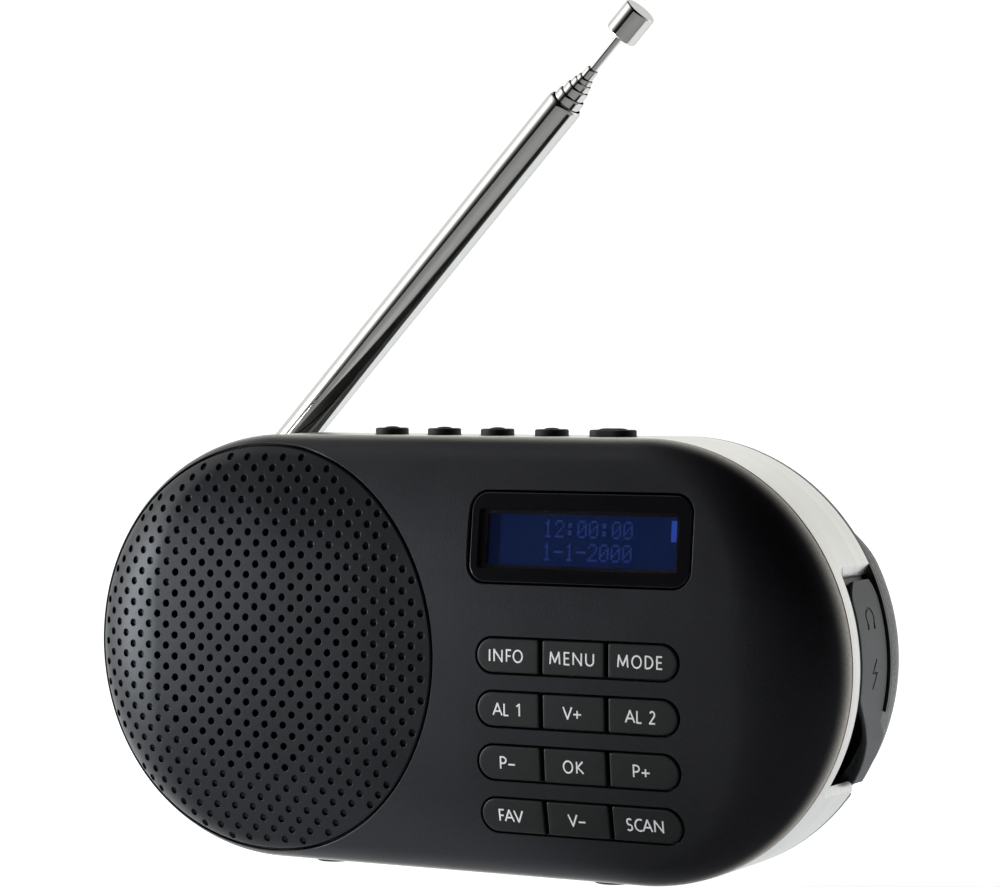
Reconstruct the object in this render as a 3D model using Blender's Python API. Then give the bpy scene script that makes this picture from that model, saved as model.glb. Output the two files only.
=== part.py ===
"""Tabletop radio: stadium-shaped case, round speaker grille, keypad, display and telescopic antenna.

Units: the driving dimensions are in millimetres, in a case frame with X to the right, Y from the foremost
point of the face to the back, and Z up from the middle height of the case.  to_world() turns them into
Blender's metres, with the origin on the ground under the middle of the case.
"""

import math

import bmesh
import bpy
from mathutils import Vector

MM = 0.001

# ---------------------------------------------------------------- driving dimensions, millimetres
WIDTH = 180.0
CASE_RADIUS = 46.1
DEPTH = 50.0
FOOT_HEIGHT = 0.8
GAP = 0.3

SEAM_Y = 11.9
BAND_BACK_Y = 32.1
BAND_THICKNESS = 1.6
WALL = 2.2
LIP_DEPTH = 1.8

CROWN_SCALE = 43.6
CROWN_SQUARE = 2.31
CROWN_FOURTH = 3.24
ROLL_AT_TOP = 5.0
ROLL_AT_ENDS = 21.0

GRILLE_RADIUS = 43.8
GRILLE_THICKNESS = 1.6
GRILLE_SINK = 0.35
SOUND_OPENING_RADIUS = 32.0

WINDOW_CENTRE = (34.1, 25.6)
WINDOW_SIZE = (50.7, 18.7)
WINDOW_CORNER = 3.8
WINDOW_THICKNESS = 1.5
WINDOW_FRONT_Y = 1.63
WINDOW_TILT = math.radians(7.0)
MODULE_CENTRE = (33.6, 25.3)
MODULE_SIZE = (47.0, 14.5, 2.6)
BACKLIGHT_SIZE = (45.0, 13.0, 1.6)

KEY_ROW_TOP_Z = 1.22
KEY_ROW_PITCH = 11.13
KEY_SLOT_LEFT = 10.75
KEY_SLOT_RIGHT = 57.55
KEY_SLOT_HEIGHT = 7.8
KEY_CLEARANCE = 0.4
KEY_GAP = 1.1
KEY_DIVIDERS = (26.0, 41.1)
KEY_PROUD = 0.15
KEY_CHAMFER = 0.35
KEY_FLANGE_Y = (5.8, 6.4)
KEY_FLANGE_SIDE = 1.0
KEY_CORNER = 0.5
KEY_END_FLAT = 0.02
KEY_ROWS = (
    ("key_info", "key_menu", "key_mode"),
    ("key_alarm_1", "key_volume_up", "key_alarm_2"),
    ("key_preset_down", "key_ok", "key_preset_up"),
    ("key_favourite", "key_volume_down", "key_scan"),
)

BUTTON_X = (-22.05, -9.0, 4.05, 17.15)
OVAL_BUTTON_X = 31.65
BUTTON_Y = 22.0
BUTTON_RADIUS = 3.6
OVAL_BUTTON_LENGTH = 10.3
BUTTON_TOP_Z = 47.5
BUTTON_FLANGE_Z = (43.0, 43.9)
BUTTON_FLANGE_SIDE = 0.9
BUTTON_CLEARANCE = 0.35
BUTTON_EDGE = 0.3
BUTTON_MARK_INSET = 2.2
BUTTON_MARK_HEIGHT = 0.35

REAR_INSET = 1.5
REAR_WALL = 2.0
REAR_FILLET = 12.0
REAR_FRONT_Y = 32.4
REAR_TONGUE_Y = 30.4
REAR_TONGUE_INSET = 1.9
SHELF_Z = 26.0
SHELF_Y = 33.8

BAY_CENTRE = (22.0, -4.0)
BAY_SIZE = (60.0, 45.0)
BAY_FLOOR_Y = 29.5
DOOR_SIZE = (63.4, 48.4)
DOOR_THICKNESS = 1.8
DOOR_CORNER = 3.0

PORT_TOP = 24.0
PORT_BOTTOM = -33.4
PORT_FRONT_Y = 17.8
PORT_BEVEL = 1.9
PORT_BEVEL_ANGLE = 2.3
PORT_BEVEL_ANGLE_LOW = 1.6
FLAP_HINGE_ANGLE = 22.4
FLAP_END_ANGLE = -32.5
FLAP_ROUND_FROM = 18.0
FLAP_FRONT_Y = 18.1
FLAP_BACK_Y = 31.6
FLAP_RADII = (44.5, 45.6)
JACK_ANGLE = 11.9
POWER_ANGLE = -2.0

ANTENNA_PIVOT = (-70.5, 38.5, 30.5)
ANTENNA_LEAN = math.radians(43.45)
ANTENNA_RADII = (4.08, 3.25, 2.70, 2.25, 1.85, 1.40)
ANTENNA_BORES = (3.58, 3.00, 2.50, 2.08, 1.65, 1.18)
ANTENNA_ENDS = (120.2, 122.3, 124.5, 126.1, 127.3, 129.7)
ANTENNA_INNER_START = 12.0
ROD_RADIUS = 0.9
TIP_SPAN = (139.2, 146.4)
TIP_RADIUS = 3.7

SCREW_ANGLES = ((-1.0, 225.0), (-1.0, 76.0), (1.0, -45.0), (1.0, 56.0))
SCREW_CIRCLE = 40.0
POST_RADIUS = 3.9
BOSS_RADIUS = 3.5
POST_FRONT_Y = 28.0
SCREW_SEAT_Y = 30.5

SPEAKER_FLANGE_RADIUS = 35.5
SPEAKER_FLANGE_Y = 7.6

FOOT_X = 34.0
FRONT_FOOT_Y = 17.5
REAR_FOOT_Y = 36.5

STRAIGHT = WIDTH - 2.0 * CASE_RADIUS
END_X = STRAIGHT / 2.0
GROUND_Z = -(CASE_RADIUS + FOOT_HEIGHT)
BAND_INNER = CASE_RADIUS - BAND_THICKNESS
GRILLE_SEAT_DEPTH = GRILLE_SINK + GRILLE_THICKNESS + 0.05
GRILLE_RINGS = (0.02, 0.3, 0.55, 0.75, 0.88, 0.96, 1.0)
DOOR_BACK_Y = DEPTH - 0.1
THROUGH = (-5.0, 20.0)
SCREW_POINTS = tuple(
    (
        side * END_X + SCREW_CIRCLE * math.cos(math.radians(angle)),
        SCREW_CIRCLE * math.sin(math.radians(angle)),
    )
    for side, angle in SCREW_ANGLES
)

COLOURS = {
    "soft_black": ((0.012, 0.012, 0.014), 0.5, 0.0),
    "grille_black": ((0.016, 0.016, 0.018), 0.55, 0.0),
    "key_black": ((0.012, 0.015, 0.014), 0.45, 0.0),
    "gloss_black": ((0.004, 0.004, 0.005), 0.08, 0.0),
    "display_blue": ((0.004, 0.012, 0.11), 0.25, 0.0),
    "brushed_silver": ((0.75, 0.75, 0.74), 0.28, 1.0),
    "case_grey": ((0.035, 0.037, 0.04), 0.6, 0.0),
    "flap_grey": ((0.06, 0.065, 0.07), 0.65, 0.0),
    "rubber_black": ((0.01, 0.01, 0.01), 0.8, 0.0),
    "board_green": ((0.01, 0.09, 0.04), 0.45, 0.0),
    "tin": ((0.6, 0.6, 0.58), 0.35, 1.0),
    "steel": ((0.55, 0.55, 0.55), 0.3, 1.0),
    "chrome": ((0.9, 0.9, 0.88), 0.06, 1.0),
    "ferrite": ((0.03, 0.03, 0.032), 0.55, 0.0),
    "paper": ((0.02, 0.02, 0.02), 0.9, 0.0),
    "silicone": ((0.3, 0.3, 0.3), 0.7, 0.0),
    "battery_wrap": ((0.02, 0.06, 0.2), 0.35, 0.0),
    "white_plastic": ((0.75, 0.75, 0.75), 0.4, 0.0),
}


# ---------------------------------------------------------------- scene and material helpers
def clear_scene():
    for item in list(bpy.data.objects):
        bpy.data.objects.remove(item, do_unlink=True)


def to_world(x, y, z):
    return Vector((x * MM, (y - DEPTH / 2.0) * MM, (z - GROUND_Z) * MM))


def material(name):
    found = bpy.data.materials.get(name)
    if found:
        return found
    colour, roughness, metallic = COLOURS[name]
    made = bpy.data.materials.new(name)
    made.use_nodes = True
    shader = made.node_tree.nodes["Principled BSDF"]
    shader.inputs["Base Color"].default_value = (*colour, 1.0)
    shader.inputs["Roughness"].default_value = roughness
    shader.inputs["Metallic"].default_value = metallic
    return made


def make_object(name, shape, finish, origin=(0.0, 0.0, 0.0), smooth=False):
    """Link a bmesh drawn in millimetres around origin, a point of the case frame."""
    bmesh.ops.recalc_face_normals(shape, faces=shape.faces)
    bmesh.ops.scale(shape, vec=(MM, MM, MM), verts=shape.verts)
    mesh = bpy.data.meshes.new(name)
    shape.to_mesh(mesh)
    shape.free()
    if smooth:
        mesh.shade_smooth()
        mesh.set_sharp_from_angle(angle=math.radians(35.0))
    item = bpy.data.objects.new(name, mesh)
    item.location = to_world(*origin)
    bpy.context.collection.objects.link(item)
    if finish:
        mesh.materials.append(material(finish))
    return item


def as_cutter(item):
    item.hide_render = True
    item.display_type = "WIRE"
    return item


def combine(item, tool, operation="DIFFERENCE"):
    modifier = item.modifiers.new(operation.lower() + "_" + tool.name, "BOOLEAN")
    modifier.operation = operation
    modifier.solver = "EXACT"
    modifier.object = tool
    as_cutter(tool)


# ---------------------------------------------------------------- outline and surface helpers
def stadium(half_length, radius, arc_steps=20, straight_steps=4):
    """Points of a stadium in X and Z, clockwise from its upper right, with arcs at both ends."""
    points = []
    for step in range(arc_steps + 1):
        angle = math.pi / 2.0 - math.pi * step / arc_steps
        points.append((half_length + radius * math.cos(angle), radius * math.sin(angle)))
    for step in range(1, straight_steps):
        points.append((half_length - 2.0 * half_length * step / straight_steps, -radius))
    for step in range(arc_steps + 1):
        angle = -math.pi / 2.0 - math.pi * step / arc_steps
        points.append((-half_length + radius * math.cos(angle), radius * math.sin(angle)))
    for step in range(1, straight_steps):
        points.append((-half_length + 2.0 * half_length * step / straight_steps, radius))
    return points


def rounded_box(width, height, corner, corner_steps=4):
    points = []
    for quarter in range(4):
        centre_x = (width / 2.0 - corner) * (1.0 if quarter in (0, 3) else -1.0)
        centre_z = (height / 2.0 - corner) * (1.0 if quarter in (0, 1) else -1.0)
        for step in range(corner_steps + 1):
            angle = math.pi / 2.0 * (quarter + step / corner_steps)
            points.append((centre_x + corner * math.cos(angle), centre_z + corner * math.sin(angle)))
    return points


def circle(radius, steps):
    return [
        (radius * math.cos(2.0 * math.pi * step / steps), radius * math.sin(2.0 * math.pi * step / steps))
        for step in range(steps)
    ]


def loft(rings):
    """Close a stack of rings of equal count into one solid, with a flat cap on both ends."""
    shape = bmesh.new()
    rows = [[shape.verts.new(point) for point in ring] for ring in rings]
    count = len(rows[0])
    for lower, upper in zip(rows, rows[1:]):
        for index in range(count):
            following = (index + 1) % count
            shape.faces.new((lower[index], lower[following], upper[following], upper[index]))
    shape.faces.new(rows[0])
    shape.faces.new(list(reversed(rows[-1])))
    return shape


def ring_loft(rings):
    """Close a stack of rings into a hoop: the last ring joins the first."""
    shape = bmesh.new()
    rows = [[shape.verts.new(point) for point in ring] for ring in rings]
    count = len(rows[0])
    for lower, upper in zip(rows, rows[1:] + rows[:1]):
        for index in range(count):
            following = (index + 1) % count
            shape.faces.new((lower[index], lower[following], upper[following], upper[index]))
    return shape


def prism(outline, y_front, y_back, centre=(0.0, 0.0)):
    """Extrude an X, Z outline along Y."""
    return loft([[(x + centre[0], y, z + centre[1]) for x, z in outline] for y in (y_front, y_back)])


def box(x_span, y_span, z_span):
    left, right = x_span
    low, high = z_span
    return prism(((left, low), (right, low), (right, high), (left, high)), y_span[0], y_span[1])


def turned(profile, steps, axis="Z"):
    """Turn a closed (radius, height) profile that stays off its axis."""
    rings = []
    for radius, height in profile:
        ring = []
        for x, y in circle(radius, steps):
            ring.append((x, y, height) if axis == "Z" else (x, height, y))
        rings.append(ring)
    return ring_loft(rings)


def rod(radius, low, high, steps, axis="Z"):
    rings = []
    for height in (low, high):
        ring = []
        for x, y in circle(radius, steps):
            if axis == "Z":
                ring.append((x, y, height))
            elif axis == "Y":
                ring.append((x, height, y))
            else:
                ring.append((height, x, y))
        rings.append(ring)
    return loft(rings)


def crown(z):
    ratio = z / CROWN_SCALE
    return CROWN_SQUARE * ratio**2 + CROWN_FOURTH * ratio**4


def face_y(x, z):
    """Front surface: crowned from top to bottom, and rolled back to the seam along its outline."""
    beyond = max(abs(x) - END_X, 0.0)
    reach = math.hypot(beyond, z)
    inset = CASE_RADIUS - reach
    end_share = (beyond / reach) ** 2 if reach > 1e-6 else 0.0
    roll = ROLL_AT_TOP + (ROLL_AT_ENDS - ROLL_AT_TOP) * end_share
    if inset >= roll:
        return crown(z)
    rim_z = CASE_RADIUS * z / reach
    drop = SEAM_Y - crown(rim_z)
    rise = max(0.0, 1.0 - ((roll - inset) / roll) ** 2)
    return crown(z) + drop * (1.0 - math.sqrt(rise))


def case_ring(inset, y):
    """One flat ring of the case outline at depth y."""
    return [(x, y, z) for x, z in stadium(END_X, CASE_RADIUS - inset)]


def face_ring(inset, setback=None):
    """One ring of the case outline on the front surface, set back by setback(x, z)."""
    ring = []
    for x, z in stadium(END_X, CASE_RADIUS - inset):
        behind = setback(x, z) if setback else 0.0
        ring.append((x, face_y(x, z) + behind, z))
    return ring


# ---------------------------------------------------------------- front cover and grille
def shell_thickness(x, z):
    """The shell is set back behind the grille, so it reaches further inside there."""
    if math.hypot(x + END_X, z) < CASE_RADIUS:
        return WALL + GRILLE_SEAT_DEPTH
    return WALL


def front_cover():
    """Moulded shell: the front surface, an inner lip inside the silver band, and the openings."""
    outer = (45.0, 32.0, 22.0, 16.0, 11.0, 7.0, 4.0, 2.2, 1.0, 0.3, 0.0)
    inner = (3.5, 7.0, 11.0, 16.0, 22.0, 32.0, 45.0)
    lip_y = SEAM_Y + LIP_DEPTH
    rings = [face_ring(inset) for inset in outer]
    rings.append(case_ring(REAR_TONGUE_INSET, SEAM_Y))
    rings.append(case_ring(REAR_TONGUE_INSET, lip_y))
    rings.append(case_ring(inner[0], lip_y))
    rings.extend(face_ring(inset, shell_thickness) for inset in inner)
    cover = make_object("front_cover", loft(rings), "soft_black")
    combine(cover, screw_bosses(), "UNION")
    combine(cover, grille_seat())
    sound = rod(SOUND_OPENING_RADIUS, *THROUGH, 40, "Y")
    combine(cover, make_object("cut_sound_opening", sound, None, (-END_X, 0.0, 0.0)))
    width, height = WINDOW_SIZE[0] + 0.7, WINDOW_SIZE[1] + 0.9
    window = prism(rounded_box(width, height, WINDOW_CORNER + 0.3), *THROUGH)
    centre = (WINDOW_CENTRE[0], 0.0, WINDOW_CENTRE[1])
    combine(cover, make_object("cut_window", window, None, centre))
    for row in range(len(KEY_ROWS)):
        combine(cover, key_slot(row))
    return cover


def rods_at(points, radius, spans, steps):
    """One bmesh with a rod along Y at each X, Z point."""
    shape = bmesh.new()
    for (x, z), (front, back) in zip(points, spans):
        piece = rod(radius, front, back, steps, "Y")
        bmesh.ops.translate(piece, vec=(x, 0.0, z), verts=piece.verts)
        mesh = bpy.data.meshes.new("rod")
        piece.to_mesh(mesh)
        piece.free()
        shape.from_mesh(mesh)
        bpy.data.meshes.remove(mesh)
    return shape


def screw_bosses():
    """Bosses behind the face, drilled for the screws; those beside the grille start further back."""
    back = POST_FRONT_Y - GAP
    spans = [(8.8 if x < 0.0 else 7.6, back) for x, z in SCREW_POINTS]
    bosses = make_object("add_bosses", rods_at(SCREW_POINTS, BOSS_RADIUS, spans, 14), None)
    drills = rods_at(SCREW_POINTS, 1.5, [(16.0, 40.0)] * len(SCREW_POINTS), 10)
    combine(bosses, make_object("cut_pilots", drills, None))
    return bosses


def grille_disc(radius, front_offset, back_offset):
    """Solid disc whose two faces follow the front surface; a None offset is a plane before the face."""
    sides = []
    for offset in (front_offset, back_offset):
        rings = []
        for share in GRILLE_RINGS:
            ring = []
            for x, z in circle(radius * share, 40):
                x -= END_X
                ring.append((x, THROUGH[0] if offset is None else face_y(x, z) + offset, z))
            rings.append(ring)
        sides.append(rings)
    return loft(sides[0] + list(reversed(sides[1])))


def grille_seat():
    return make_object("cut_grille_seat", grille_disc(GRILLE_RADIUS + GAP, None, GRILLE_SEAT_DEPTH), None)


def speaker_grille():
    """Curved disc that lies in its seat on the front surface."""
    back = GRILLE_SINK + GRILLE_THICKNESS - GAP
    shape = grille_disc(GRILLE_RADIUS, GRILLE_SINK, back)
    return make_object("speaker_grille", shape, "grille_black", smooth=True)


# ---------------------------------------------------------------- display
def tilted_plate(name, finish, centre, size, front_y, corner, steps=4):
    outline = rounded_box(size[0], size[1], corner, steps)
    item = make_object(name, prism(outline, 0.0, size[2]), finish, (centre[0], front_y, centre[1]))
    item.rotation_euler = (-WINDOW_TILT, 0.0, 0.0)
    return item


def display_parts():
    """Window in the face, with the display glass and its light guide behind it, all at one tilt."""
    size = (WINDOW_SIZE[0], WINDOW_SIZE[1], WINDOW_THICKNESS)
    tilted_plate("display_window", "gloss_black", WINDOW_CENTRE, size, WINDOW_FRONT_Y, WINDOW_CORNER)
    module_y = WINDOW_FRONT_Y + WINDOW_THICKNESS + 0.4
    tilted_plate("display_module", "display_blue", MODULE_CENTRE, MODULE_SIZE, module_y, 0.6, 2)
    light_y = module_y + MODULE_SIZE[2] + GAP
    tilted_plate("display_backlight", "white_plastic", MODULE_CENTRE, BACKLIGHT_SIZE, light_y, 0.6, 2)


# ---------------------------------------------------------------- keypad
def key_row_z(row):
    return KEY_ROW_TOP_Z - KEY_ROW_PITCH * row


def key_slot(row):
    length = KEY_SLOT_RIGHT - KEY_SLOT_LEFT
    radius = KEY_SLOT_HEIGHT / 2.0
    outline = stadium(length / 2.0 - radius, radius, 10, 2)
    centre = ((KEY_SLOT_LEFT + KEY_SLOT_RIGHT) / 2.0, 0.0, key_row_z(row))
    return make_object("cut_key_slot_%d" % (row + 1), prism(outline, *THROUGH), None, centre)


def key_outline(column, shrink=0.0, grow_z=KEY_END_FLAT):
    """Outline of one key about the row's centre line; the outer keys have a round end.

    grow_z moves the upper and lower edges outward only, for the flange behind the slot.  It is never
    zero, so that the two points in the middle of a round end stay apart.
    """
    half = KEY_SLOT_HEIGHT / 2.0 - KEY_CLEARANCE - shrink
    left = KEY_SLOT_LEFT + KEY_CLEARANCE + shrink
    right = KEY_SLOT_RIGHT - KEY_CLEARANCE - shrink
    if column > 0:
        left = KEY_DIVIDERS[column - 1] + KEY_GAP / 2.0 + shrink
    if column < 2:
        right = KEY_DIVIDERS[column] - KEY_GAP / 2.0 - shrink
    left_corner = half if column == 0 else KEY_CORNER
    right_corner = half if column == 2 else KEY_CORNER
    quarters = (
        (0.5, right - right_corner, right_corner, 1.0),
        (0.0, right - right_corner, right_corner, -1.0),
        (-0.5, left + left_corner, left_corner, -1.0),
        (-1.0, left + left_corner, left_corner, 1.0),
    )
    steps = 4
    points = []
    for start, centre_x, corner, side in quarters:
        for step in range(steps + 1):
            angle = math.pi * (start - 0.5 * step / steps)
            x = centre_x + corner * math.cos(angle)
            z = corner * math.sin(angle) + side * (half - corner + grow_z)
            points.append((x, z))
    return points


def key(name, row, column):
    """One key: a chamfered face that follows the crown, and a flange that stops it behind the slot."""
    centre_z = key_row_z(row)
    flange_front, flange_back = KEY_FLANGE_Y
    body = key_outline(column)
    face = key_outline(column, shrink=KEY_CHAMFER)
    flange = key_outline(column, grow_z=KEY_FLANGE_SIDE)
    rings = [[(x, crown(centre_z + z) - KEY_PROUD, z) for x, z in face]]
    rings.append([(x, crown(centre_z + z) - KEY_PROUD + KEY_CHAMFER, z) for x, z in body])
    rings.append([(x, flange_front, z) for x, z in body])
    rings.append([(x, flange_front, z) for x, z in flange])
    rings.append([(x, flange_back, z) for x, z in flange])
    return make_object(name, loft(rings), "key_black", (0.0, 0.0, centre_z))


def keypad_parts():
    for row, names in enumerate(KEY_ROWS):
        for column, name in enumerate(names):
            key(name, row, column)
    make_object("keypad_membrane", box((7.0, 61.0), (7.5, 8.3), (-38.0, 7.5)), "silicone")
    make_object("key_board", box((6.0, 61.5), (8.6, 10.2), (-38.5, 14.0)), "board_green")


# ---------------------------------------------------------------- silver band and its controls
def arc_solid(angles, front, back, inner, outer):
    """Solid that follows the right-hand arc; front and back are Y, inner and outer radii, by angle.

    front takes the angle and 0 for the inner radius or 1 for the outer one.
    """
    rings = []
    for angle in angles:
        turn = math.radians(angle)
        ring = []
        corners = ((inner, 0, front), (outer, 1, front), (outer, 1, back), (inner, 0, back))
        for radius, side, edge in corners:
            reach = radius(angle)
            ring.append((END_X + reach * math.cos(turn), edge(angle, side), reach * math.sin(turn)))
        rings.append(ring)
    return loft(rings)


def port_notch():
    """Opening of the port flap: open at the band's rear edge, with bevelled sides."""
    shape = bmesh.new()
    rows = []
    count = 14
    corner_cut = 1.5
    for radius, grow in ((BAND_INNER - 0.4, 0.0), (CASE_RADIUS + 0.4, 1.0)):
        top = PORT_TOP + PORT_BEVEL_ANGLE * grow
        bottom = PORT_BOTTOM - PORT_BEVEL_ANGLE_LOW * grow
        front = PORT_FRONT_Y - PORT_BEVEL * grow
        for y_side in (0, 1):
            row = []
            for step in range(count + 1):
                angle = top + (bottom - top) * step / count
                turn = math.radians(angle)
                y = front + (corner_cut if step in (0, count) else 0.0)
                if y_side:
                    y = BAND_BACK_Y + 3.0
                point = (END_X + radius * math.cos(turn), y, radius * math.sin(turn))
                row.append(shape.verts.new(point))
            rows.append(row)
    inner_front, inner_back, outer_front, outer_back = rows
    pairs = (
        (inner_front, inner_back),
        (inner_back, outer_back),
        (outer_back, outer_front),
        (outer_front, inner_front),
    )
    for one, two in pairs:
        for step in range(count):
            shape.faces.new((one[step], one[step + 1], two[step + 1], two[step]))
    for end in (0, count):
        shape.faces.new((inner_front[end], inner_back[end], outer_back[end], outer_front[end]))
    return make_object("cut_port_notch", shape, None)


def trim_band():
    """Silver hoop between the covers, cut for the port flap and the top buttons."""
    front = SEAM_Y + GAP
    rings = [
        [(x, front, z) for x, z in stadium(END_X, CASE_RADIUS)],
        [(x, BAND_BACK_Y, z) for x, z in stadium(END_X, CASE_RADIUS)],
        [(x, BAND_BACK_Y, z) for x, z in stadium(END_X, BAND_INNER)],
        [(x, front, z) for x, z in stadium(END_X, BAND_INNER)],
    ]
    band = make_object("trim_band", ring_loft(rings), "brushed_silver")
    combine(band, port_notch())
    for index, x in enumerate(BUTTON_X):
        hole = rod(BUTTON_RADIUS + BUTTON_CLEARANCE, 40.0, 50.0, 20)
        combine(band, make_object("cut_button_%d" % (index + 1), hole, None, (x, BUTTON_Y, 0.0)))
    hole = oval_block(BUTTON_CLEARANCE, 40.0, 50.0)
    combine(band, make_object("cut_button_5", hole, None, (OVAL_BUTTON_X, BUTTON_Y, 0.0)))
    return band


def oval_outline(grow):
    half = (OVAL_BUTTON_LENGTH - 2.0 * BUTTON_RADIUS) / 2.0
    return stadium(half, BUTTON_RADIUS + grow, 10, 2)


def oval_block(grow, low, high):
    return loft([[(x, y, height) for x, y in oval_outline(grow)] for height in (low, high)])


def button_rings(outline):
    """A button on top of the band: flange inside, cap outside with a soft edge and a raised mark."""
    low, high = BUTTON_FLANGE_Z
    mark = BUTTON_MARK_INSET
    levels = (
        (low, BUTTON_FLANGE_SIDE),
        (high, BUTTON_FLANGE_SIDE),
        (high, 0.0),
        (BUTTON_TOP_Z - BUTTON_EDGE, 0.0),
        (BUTTON_TOP_Z, -BUTTON_EDGE),
        (BUTTON_TOP_Z, -mark),
        (BUTTON_TOP_Z + BUTTON_MARK_HEIGHT, -mark - 0.15),
    )
    return [[(x, y, height) for x, y in outline(grow)] for height, grow in levels]


def top_buttons():
    for index, x in enumerate(BUTTON_X):
        shape = loft(button_rings(lambda grow: circle(BUTTON_RADIUS + grow, 20)))
        make_object("top_button_%d" % (index + 1), shape, "rubber_black", (x, BUTTON_Y, 0.0), smooth=True)
    shape = loft(button_rings(oval_outline))
    make_object("top_button_5", shape, "rubber_black", (OVAL_BUTTON_X, BUTTON_Y, 0.0), smooth=True)
    sheet = box((-28.0, 40.0), (16.0, 28.0), (41.1, 41.8))
    make_object("top_button_membrane", sheet, "silicone")
    board = box((-27.0, 39.0), (15.0, 29.0), (39.2, 40.8))
    make_object("top_button_board", board, "board_green")


# ---------------------------------------------------------------- ports on the right-hand end
def ramp(value, start, end):
    """0 before start, 1 past end, and straight in between; end may be below start."""
    return min(1.0, max(0.0, (value - start) / (end - start)))


def flap_front(angle, side):
    """Front edge of the flap: straight, rounded at the top, and slanting back along the pull tab."""
    if angle > FLAP_ROUND_FROM:
        return FLAP_FRONT_Y + 2.4 * ramp(angle, FLAP_ROUND_FROM, FLAP_HINGE_ANGLE) ** 2
    return FLAP_FRONT_Y + 11.4 * math.sin(math.pi / 2.0 * ramp(angle, -8.0, FLAP_END_ANGLE))


def flap_back(angle, side):
    """Back edge of the flap: rounded at the top, and out over the rear cover along the tab."""
    if angle > FLAP_ROUND_FROM:
        return FLAP_BACK_Y - 2.0 * ramp(angle, FLAP_ROUND_FROM, FLAP_HINGE_ANGLE) ** 2
    return FLAP_BACK_Y + 3.2 * ramp(angle, -15.0, -19.0)


def flap_outer(angle):
    return FLAP_RADII[1] + (CASE_RADIUS - FLAP_RADII[1]) * ramp(angle, -12.0, -20.0)


def flap_inner(angle):
    return FLAP_RADII[0] + 0.4 * ramp(angle, -11.0, -15.0)


def port_flap():
    """Rubber flap over the sockets; its origin is the living hinge along its top edge."""
    angles = [FLAP_HINGE_ANGLE, 21.0, 19.5, FLAP_ROUND_FROM, 13.0, 8.0, 3.0, -2.0, -8.0]
    angles += [-10.0, -12.0, -15.0, -17.0, -19.0, -22.0, -26.0, -30.0, FLAP_END_ANGLE]
    shape = arc_solid(angles, flap_front, flap_back, flap_inner, flap_outer)
    turn = math.radians(FLAP_HINGE_ANGLE)
    radius = sum(FLAP_RADII) / 2.0
    hinge = (END_X + radius * math.cos(turn), 25.0, radius * math.sin(turn))
    bmesh.ops.translate(shape, vec=[-value for value in hinge], verts=shape.verts)
    return make_object("port_flap", shape, "flap_grey", hinge)


def port_frame():
    """Floor of the port opening, lower in front of the flap's tab to leave room for a fingertip."""
    angles = [28.0, 22.0, 16.0, 10.0, 4.0, -2.0, -8.0, -12.9, -13.1, -18.0, -24.0, -30.0, -36.0]
    frame = arc_solid(
        angles,
        lambda angle, side: 14.1,
        lambda angle, side: 30.1,
        lambda angle: 39.8,
        lambda angle: 44.2 if angle > -13.0 else 41.5,
    )
    frame = make_object("port_frame", frame, "soft_black")
    combine(frame, radial_block("cut_jack", JACK_ANGLE, (30.0, 50.0), 24.4, (7.0, 7.0)))
    combine(frame, radial_block("cut_power", POWER_ANGLE, (30.0, 50.0), 24.2, (9.4, 3.8)))
    return frame


def radial_block(name, angle, radii, y, size, finish=None, offset=0.0):
    """Box that points outward from the middle of the right-hand arc; size is along Y and across."""
    half_y, half_across = size[0] / 2.0, size[1] / 2.0
    shape = box(radii, (y - half_y, y + half_y), (offset - half_across, offset + half_across))
    item = make_object(name, shape, finish, (END_X, 0.0, 0.0))
    item.rotation_euler = (0.0, -math.radians(angle), 0.0)
    return item


def sockets():
    """Headphone jack and power socket in the port frame, soldered to one upright board."""
    jack = radial_block("headphone_jack", JACK_ANGLE, (33.0, 44.2), 24.4, (6.4, 6.4), "rubber_black")
    bore = rod(1.85, 36.0, 50.0, 16, "X")
    bore = make_object("cut_jack_bore", bore, None, (END_X, 24.4, 0.0))
    bore.rotation_euler = jack.rotation_euler
    combine(jack, bore)
    power = radial_block("power_socket", POWER_ANGLE, (36.0, 44.2), 24.2, (8.8, 3.2), "steel")
    mouth = radial_block("cut_power_mouth", POWER_ANGLE, (38.0, 50.0), 24.2, (7.8, 2.2))
    combine(power, mouth)
    tongue_board = box((72.4, 74.0), (18.0, 29.5), (-12.0, 18.0))
    make_object("socket_board", tongue_board, "board_green")


# ---------------------------------------------------------------- rear cover, battery bay and door
def rear_block(name, inset, fillet, front_y, back_y, tongue_y=None):
    rings = []
    if tongue_y is not None:
        for y in (tongue_y, front_y):
            rings.append([(x, y, z) for x, z in stadium(END_X, CASE_RADIUS - REAR_TONGUE_INSET)])
    rings.append([(x, front_y, z) for x, z in stadium(END_X, CASE_RADIUS - inset)])
    steps = 5
    for step in range(steps + 1):
        turn = math.pi / 2.0 * step / steps
        reach = CASE_RADIUS - inset - fillet * (1.0 - math.cos(turn))
        y = back_y - fillet + fillet * math.sin(turn)
        rings.append([(x, y, z) for x, z in stadium(END_X, reach)])
    return make_object(name, loft(rings), None)


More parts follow.
